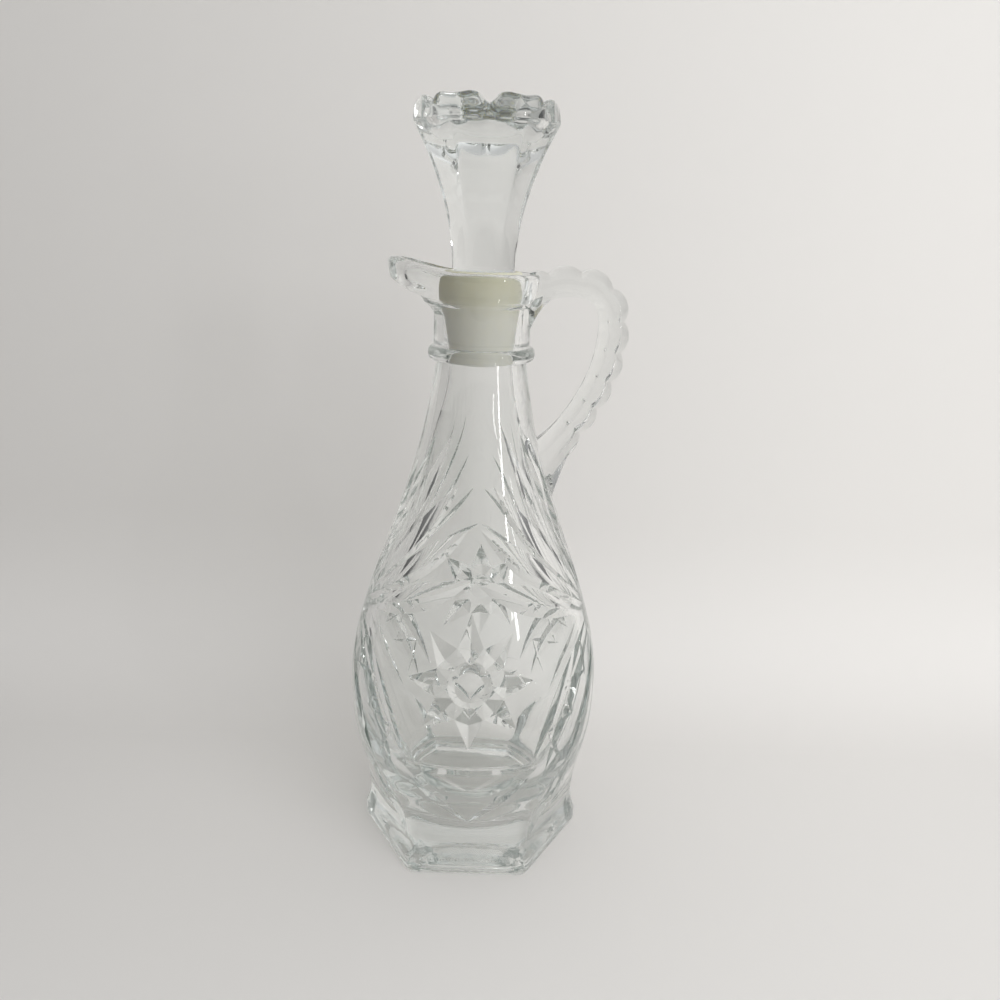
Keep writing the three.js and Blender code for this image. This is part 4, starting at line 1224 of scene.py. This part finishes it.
def handled(tree, shader, wave, film, dull):
    """Gives a material the common surface, with its waves and its dullness, and returns its outputs."""
    scale, height = wave
    values = {"Wave Scale": scale, "Film Share": film}
    surface = tree.node("ShaderNodeGroup", values, node_tree=surface_group())
    bump = {"Height": surface.outputs["Height"], "Strength": 1.0, "Distance": height}
    tree.put(tree.made("ShaderNodeBump", bump), shader.inputs["Normal"])
    clean, dulled = [(value,) * 3 for value in dull]
    tree.put(ramped(tree, surface.outputs["Film"], clean, dulled, (0.0, 1.0)), shader.inputs["Roughness"])
    return surface.outputs


def ramped(tree, value, low, high, places):
    """A colour that runs from low to high between two places of the value."""
    node = tree.node("ShaderNodeValToRGB", {0: value})
    for element, place, tone in zip(node.color_ramp.elements, places, (low, high), strict=True):
        element.position = place
        element.color = (*tone, 1)
    return node.outputs[0]


def glass_material(name, glass, density, wave):
    """Clear glass. Rays from lamps and matt surfaces pass it straight, so its shadow stays soft."""
    material, tree, shader, out = new_material(name)
    surface = handled(tree, shader, wave, GLASS_FILM, (0.0, GLASS_DULL))
    shader.inputs["IOR"].default_value = glass.refraction
    shader.inputs["Transmission Weight"].default_value = 1.0
    tone = ramped(tree, surface["Cloud"], glass.tint, glass.clear, CLOUD_RANGE)
    tree.put(tone, shader.inputs["Base Color"])
    through = tree.made("ShaderNodeBsdfTransparent", {"Color": (*glass.shade, 1)})
    path = tree.node("ShaderNodeLightPath").outputs
    straight = tree.math("MAXIMUM", path["Is Shadow Ray"], path["Is Diffuse Ray"])
    mix = tree.made("ShaderNodeMixShader", {0: straight, 1: shader.outputs[0], 2: through})
    tree.put(mix, out["Surface"])
    depth = tree.made("ShaderNodeVolumeAbsorption", {"Color": (*glass.depth, 1), "Density": density})
    tree.put(depth, out["Volume"])
    return material


def plastic_material(sleeve, bore):
    """Milky plastic that light soaks into, darker and yellower outside towards its top, and painted
    lighter inside, where a whiter colour stands in for the light that comes in through the peg.
    """
    material, tree, shader, _ = new_material("milky_plastic")
    surface = handled(tree, shader, PLASTIC_WAVE, PLASTIC_FILM, PLASTIC_DULL)
    place = tree.split(tree.node("ShaderNodeTexCoord").outputs["Object"])
    top = SLEEVE_HIGH.z
    # the outside turns darker and yellower towards the top
    thick = tree.eased(place["Z"], top - THICK_FROM, top - THICK_TO)
    thin = tree.math("MULTIPLY_ADD", thick, -THICK_SHARE, THIN_TONE)
    thin = tree.math("MULTIPLY_ADD", surface["Cloud"], CLOUD_SHARE, thin)
    outside = ramped(tree, thin, sleeve.deep, sleeve.plastic, PLASTIC_RANGE)
    squares = tree.plus(tree.times(place["X"], place["X"]), tree.times(place["Y"], place["Y"]))
    tapered = tree.times(tree.minus(place["Z"], top), PEG_TAPER)
    wall = tree.minus(tree.math("SQRT", squares), tapered)
    # painted light: inside the bore the plastic takes the whiter colour, which stands in for light
    # reaching it through the peg
    outer = tree.eased(wall, *[bore + way for way in OUTSIDE])
    tree.put(tree.mixed(outer, (*sleeve.painted_light_inside, 1), outside), shader.inputs["Base Color"])
    shader.inputs["Subsurface Weight"].default_value = 1.0
    shader.inputs["Subsurface Radius"].default_value = PLASTIC_SOAK
    shader.inputs["Subsurface Scale"].default_value = 1.0
    return material


def paper_material(stage):
    """Pale paper, painted darker towards the left as shade where the window's light falls off. The card
    is clear from behind, so that the cruet can be seen from all sides.
    """
    material, tree, shader, out = new_material("paper")
    where = tree.node("ShaderNodeTexCoord").outputs["Object"]
    # painted shade: the paper's colour runs from darker on the left to its full tone on the right
    painted_shade_share = tree.eased(tree.split(where)["X"], *PAPER_PAINTED_SHADE_TURN)
    painted_shade_share = tree.math("MULTIPLY_ADD", tree.noise(where, *PAPER_NOISE), PAPER_CLOUD, painted_shade_share)
    darker = [PAPER_LEFT_PAINTED_SHADE * tone for tone in stage.paper]
    tree.put(ramped(tree, painted_shade_share, darker, stage.paper, PAPER_RANGE), shader.inputs["Base Color"])
    shader.inputs["Roughness"].default_value = PAPER_DULL
    shader.inputs["Specular IOR Level"].default_value = PAPER_GLOSS
    behind = tree.node("ShaderNodeNewGeometry").outputs["Backfacing"]
    clear = tree.made("ShaderNodeBsdfTransparent")
    mix = tree.made("ShaderNodeMixShader", {0: behind, 1: shader.outputs[0], 2: clear})
    tree.put(mix, out["Surface"])
    return material


# Stage


def paper_sheet(name, outline, half_width, paper):
    """A sheet that follows an outline of depth and height."""
    points = [(x, y, z - FLOOR_DROP) for y, z in outline for x in (-half_width, half_width)]
    faces = [(2 * i, 2 * i + 1, 2 * i + 3, 2 * i + 2) for i in range(len(outline) - 1)]
    mesh = bpy.data.meshes.new(name)
    mesh.from_pydata(points, [], faces)
    mesh.shade_smooth()
    mesh.materials.append(paper)
    sheet = linked(name, mesh)


def way_out(azimuth, elevation):
    """A way from the bottle, with the azimuth counted from the front towards +X."""
    a, e = math.radians(azimuth), math.radians(elevation)
    return Vector((math.sin(a) * math.cos(e), -math.cos(a) * math.cos(e), math.sin(e)))


def lamp(name, power, size, way, distance):
    """A soft lamp that shines on the bottle's middle."""
    light = bpy.data.lights.new(name, "AREA")
    light.energy = power
    light.shape = "RECTANGLE"
    light.size, light.size_y = size
    holder = linked(name, light)
    out = way_out(*way)
    holder.location = LAMP_AIM + out * distance
    holder.rotation_mode = "QUATERNION"
    holder.rotation_quaternion = out.to_track_quat("Z", "Y")
    return holder


def room_light(scene, stage):
    """A room that is lighter above, lightest around the window and darker behind the camera."""
    world = bpy.data.worlds.new("room")
    scene.world = world
    world.use_nodes = True
    tree = Tree(world.node_tree)
    background = world.node_tree.nodes["Background"]
    where = tree.node("ShaderNodeTexCoord").outputs["Generated"]
    way = tree.split(where)
    above = tree.times(tree.eased(way["Z"], *CEILING), CEILING_LIGHT)
    beside = tree.math("MULTIPLY_ADD", way["X"], SIDE_LIGHT, LOW_LIGHT)
    glow = tree.times(tree.eased(tree.dot(where, way_out(*GLOW_WAY)), *GLOW_RANGE), GLOW_LIGHT)
    facing = tree.eased(tree.dot(where, way_out(*DARK_WAY)), *DARK_RANGE)
    dark = tree.math("MULTIPLY_ADD", facing, -DARK_SHARE, 1.0)
    tree.put(tree.plus(tree.times(tree.plus(above, beside), dark), glow), background.inputs["Color"])
    background.inputs["Strength"].default_value = stage.room


# Operators


class CRUET_OT_make_bottle(bpy.types.Operator):
    """The bottle and its handle, one piece of pressed glass"""

    bl_idname = "cruet.make_bottle"
    bl_label = "Bottle and handle"

    def execute(self, context):
        scene = context.scene
        bottle, handle = scene.cruet_bottle, scene.cruet_handle
        glass = scene.cruet_glass
        material = glass_material("bottle_glass", glass, glass.bottle_density, BOTTLE_WAVE)
        body, hollow = bottle_mesh(bottle, scene.cruet_ornament, material)
        bar = grown(
            chain("handle", handle_path(handle, Skin(bottle))),
            handle_tree(),
            {
                "Thickness": handle.thickness,
                "Width": handle.width,
                "Flare": handle.flare,
                "Web": handle.web,
                "Fillet": handle.fillet,
                "Notches": handle.notches,
                "Notch Depth": handle.notch_depth,
                "Stations": NOTCH_STATIONS * handle.notches + 1,
                "Material": material,
            },
        )
        bar = combined(bar, hollow_solid(hollow), "DIFFERENCE")
        whole = combined(body, bar, "UNION")
        piece("cruet_bottle", whole, material, "bottle", "clear_glass", "bottle_body", "handle")
        return {"FINISHED"}


class CRUET_OT_make_sleeve(bpy.types.Operator):
    """The milky plastic sleeve that seals the stopper in the mouth"""

    bl_idname = "cruet.make_sleeve"
    bl_label = "Sleeve"

    def execute(self, context):
        sleeve = context.scene.cruet_sleeve
        bottle = context.scene.cruet_bottle
        low, high = SLEEVE_LOW.z, SLEEVE_HIGH.z
        edge = sleeve.edge
        wide = bottle.mouth_bore - FIT_GAP
        neck = (bottle.neck_bore - FIT_GAP, bottle.neck_height)
        collar = (wide, bottle.collar_height)
        end = neck[0] - SLEEVE_DRAFT
        bore = wide - sleeve.wall
        floor = low + sleeve.bottom
        bore_end = bore - PEG_TAPER * (high - floor)
        above_end = (neck[0] - SLEEVE_DRAFT_TOP, low + edge)
        top = (wide - edge, high)
        bore_top = (bore + edge / 2, high)
        below_top = (bore, high - edge / 2)
        above_floor = (bore_end, floor + edge)
        on_floor = (bore_end - edge, floor)
        outline = joined(
            [(0, low), (end - edge, low)],
            arc((end - edge, low), (end, low), above_end, steps=5),
            [above_end, neck],
            np.linspace(neck, collar, num=5),
            [collar, (wide, high - edge)],
            arc((wide, high - edge), (wide, high), top, steps=5),
            [top, bore_top],
            arc(bore_top, (bore, high), below_top, steps=4),
            [below_top, above_floor],
            arc(above_floor, (bore_end, floor), on_floor, steps=4),
            [on_floor, (0, floor)],
        )
        material = plastic_material(sleeve, bore)
        # an outline without marks is turned round, whatever its sides and corners are
        mesh = grown(
            chain("sleeve", outline),
            turned_tree(),
            {"Columns": SLEEVE_COLUMNS, "Sides": 6, "Turn": 0.0, "Corner": 1.0, "Material": material},
        )
        piece("cruet_sleeve", mesh, material, "sleeve", "milky_plastic", "stopper_sleeve")
        return {"FINISHED"}


class CRUET_OT_make_stopper(bpy.types.Operator):
    """The solid glass stopper: peg, fluted trumpet and lobed crown"""

    bl_idname = "cruet.make_stopper"
    bl_label = "Stopper"

    def execute(self, context):
        scene = context.scene
        s = scene.cruet_stopper
        low, sleeve_top = STOPPER_LOW.z, SLEEVE_HIGH.z
        seat = sleeve_top + FIT_GAP
        peg = scene.cruet_bottle.mouth_bore - 2 * FIT_GAP - scene.cruet_sleeve.wall
        peg_end = peg - PEG_TAPER * (sleeve_top - low)
        peg_edge = (peg_end, low + PEG_EDGE)
        seat_edge = (s.stem_radius - SEAT_EDGE, seat)
        stem = (s.stem_radius, seat + SEAT_EDGE)
        foot = seat + s.trumpet_length
        top = STOPPER_HIGH.z - s.lobe_height
        r = s.trumpet_radius
        edge = (r - CROWN_ROLL, top)
        dish = [(r - rolls * CROWN_ROLL, top - depth) for rolls, depth in CROWN_DISH]
        floor_share, floor_depth = DISH_FLOOR
        outline = joined(
            [(0, low), (peg_end - PEG_EDGE, low)],
            arc((peg_end - PEG_EDGE, low), (peg_end, low), peg_edge, steps=4),
            np.linspace(peg_edge, (peg, sleeve_top), num=6),
            [(peg, sleeve_top), (peg, seat), seat_edge],
            arc(seat_edge, (s.stem_radius, seat), stem, steps=3),
            bend(
                stem,
                (s.stem_radius + TRUMPET_EASE[0], seat + TRUMPET_EASE[1]),
                (r - TRUMPET_FLARE[0], foot - TRUMPET_FLARE[1]),
                (r, foot),
                steps=48,
            ),
            bend((r, foot), (r + CROWN_SWELL[0], foot + CROWN_SWELL[1]), (r, top), edge, steps=12),
            bend(edge, *dish, steps=10),
            [dish[-1], (r * floor_share, top - floor_depth), (0, top - DISH_DEPTH)],
        )
        radius, height = outline.T
        lost = FLUTE_LOSS * smooth(height, foot - FLUTE_END[0], foot + FLUTE_END[1])
        crown = smooth(radius, *[r - rolls * CROWN_ROLL for rolls in LOBE_REACH])
        marks = {
            "flat": s.flat * smooth(height, seat, seat + FLUTE_START) * (1 - lost),
            "notch": s.lobe_notch * crown * smooth(height, foot - NOTCH_RISE[0], foot + NOTCH_RISE[1]),
            "lift": s.lobe_height * crown * smooth(height, foot + LOBE_RISE, top),
        }
        glass = scene.cruet_glass
        material = glass_material("stopper_glass", glass, glass.stopper_density, STOPPER_WAVE)
        mesh = grown(
            chain("stopper", outline, marks),
            turned_tree(),
            {
                "Columns": STOPPER_COLUMNS,
                "Sides": s.sides,
                "Turn": s.turned,
                "Corner": s.corner,
                "Material": material,
            },
        )
        piece("cruet_stopper", mesh, material, "stopper", "clear_glass", "glass_stopper")
        return {"FINISHED"}


class CRUET_OT_make_stage(bpy.types.Operator):
    """Paper floor and card, window light, room light and camera"""

    bl_idname = "cruet.make_stage"
    bl_label = "Stage"

    def execute(self, context):
        scene = context.scene
        stage = scene.cruet_stage
        paper = paper_material(stage)
        floor = [(-FLOOR_REACH, 0), (FLOOR_REACH, 0)]
        upright = (CARD_BACK, CARD_CURVE)
        card = joined(
            arc((CARD_BACK - CARD_CURVE, 0), (CARD_BACK, 0), upright, steps=24),
            [upright, (CARD_BACK, CARD_HEIGHT)],
        )
        paper_sheet("paper_floor", floor, FLOOR_REACH, paper)
        paper_sheet("paper_card", card, CARD_HALF_WIDTH, paper)
        window = lamp("window", stage.window, **WINDOW)
        window.visible_glossy = window.visible_transmission = False
        lamp("slit", stage.slit, **SLIT)
        room_light(scene, stage)
        camera = bpy.data.cameras.new("camera")
        camera.sensor_width = CAMERA_SENSOR
        camera.lens = CAMERA_LENS
        camera.clip_start = CAMERA_NEAR
        holder = linked("camera", camera)
        holder.location = CAMERA_PLACE
        holder.rotation_mode = "QUATERNION"
        level = Euler((math.pi / 2 - CAMERA_DIP, 0, 0)).to_quaternion()
        holder.rotation_quaternion = level @ Quaternion((0, 0, 1), CAMERA_ROLL)
        scene.camera = holder
        scene.view_settings.view_transform = "Standard"
        scene.cycles.max_bounces = GLASS_BOUNCES
        scene.cycles.transmission_bounces = GLASS_BOUNCES
        scene.cycles.glossy_bounces = GLASS_BOUNCES
        return {"FINISHED"}


OPERATORS = (CRUET_OT_make_bottle, CRUET_OT_make_sleeve, CRUET_OT_make_stopper, CRUET_OT_make_stage)


class CRUET_PT_panel(bpy.types.Panel):
    """Lists the cruet's pieces"""

    bl_label = "Cruet"
    bl_idname = "CRUET_PT_panel"
    bl_space_type = "VIEW_3D"
    bl_region_type = "UI"
    bl_category = "Cruet"

    def draw(self, context):
        for operator in OPERATORS:
            self.layout.operator(operator.bl_idname)


def register():
    for group in (*GROUPS.values(), *OPERATORS, CRUET_PT_panel):
        bpy.utils.register_class(group)
    for name, group in GROUPS.items():
        setattr(bpy.types.Scene, name, PointerProperty(type=group))


def unregister():
    for name in GROUPS:
        delattr(bpy.types.Scene, name)
    for group in reversed((*GROUPS.values(), *OPERATORS, CRUET_PT_panel)):
        bpy.utils.unregister_class(group)


def main():
    register()
    bpy.ops.cruet.make_bottle()
    bpy.ops.cruet.make_sleeve()
    bpy.ops.cruet.make_stopper()
    bpy.ops.cruet.make_stage()


if __name__ == "__main__":
    main()
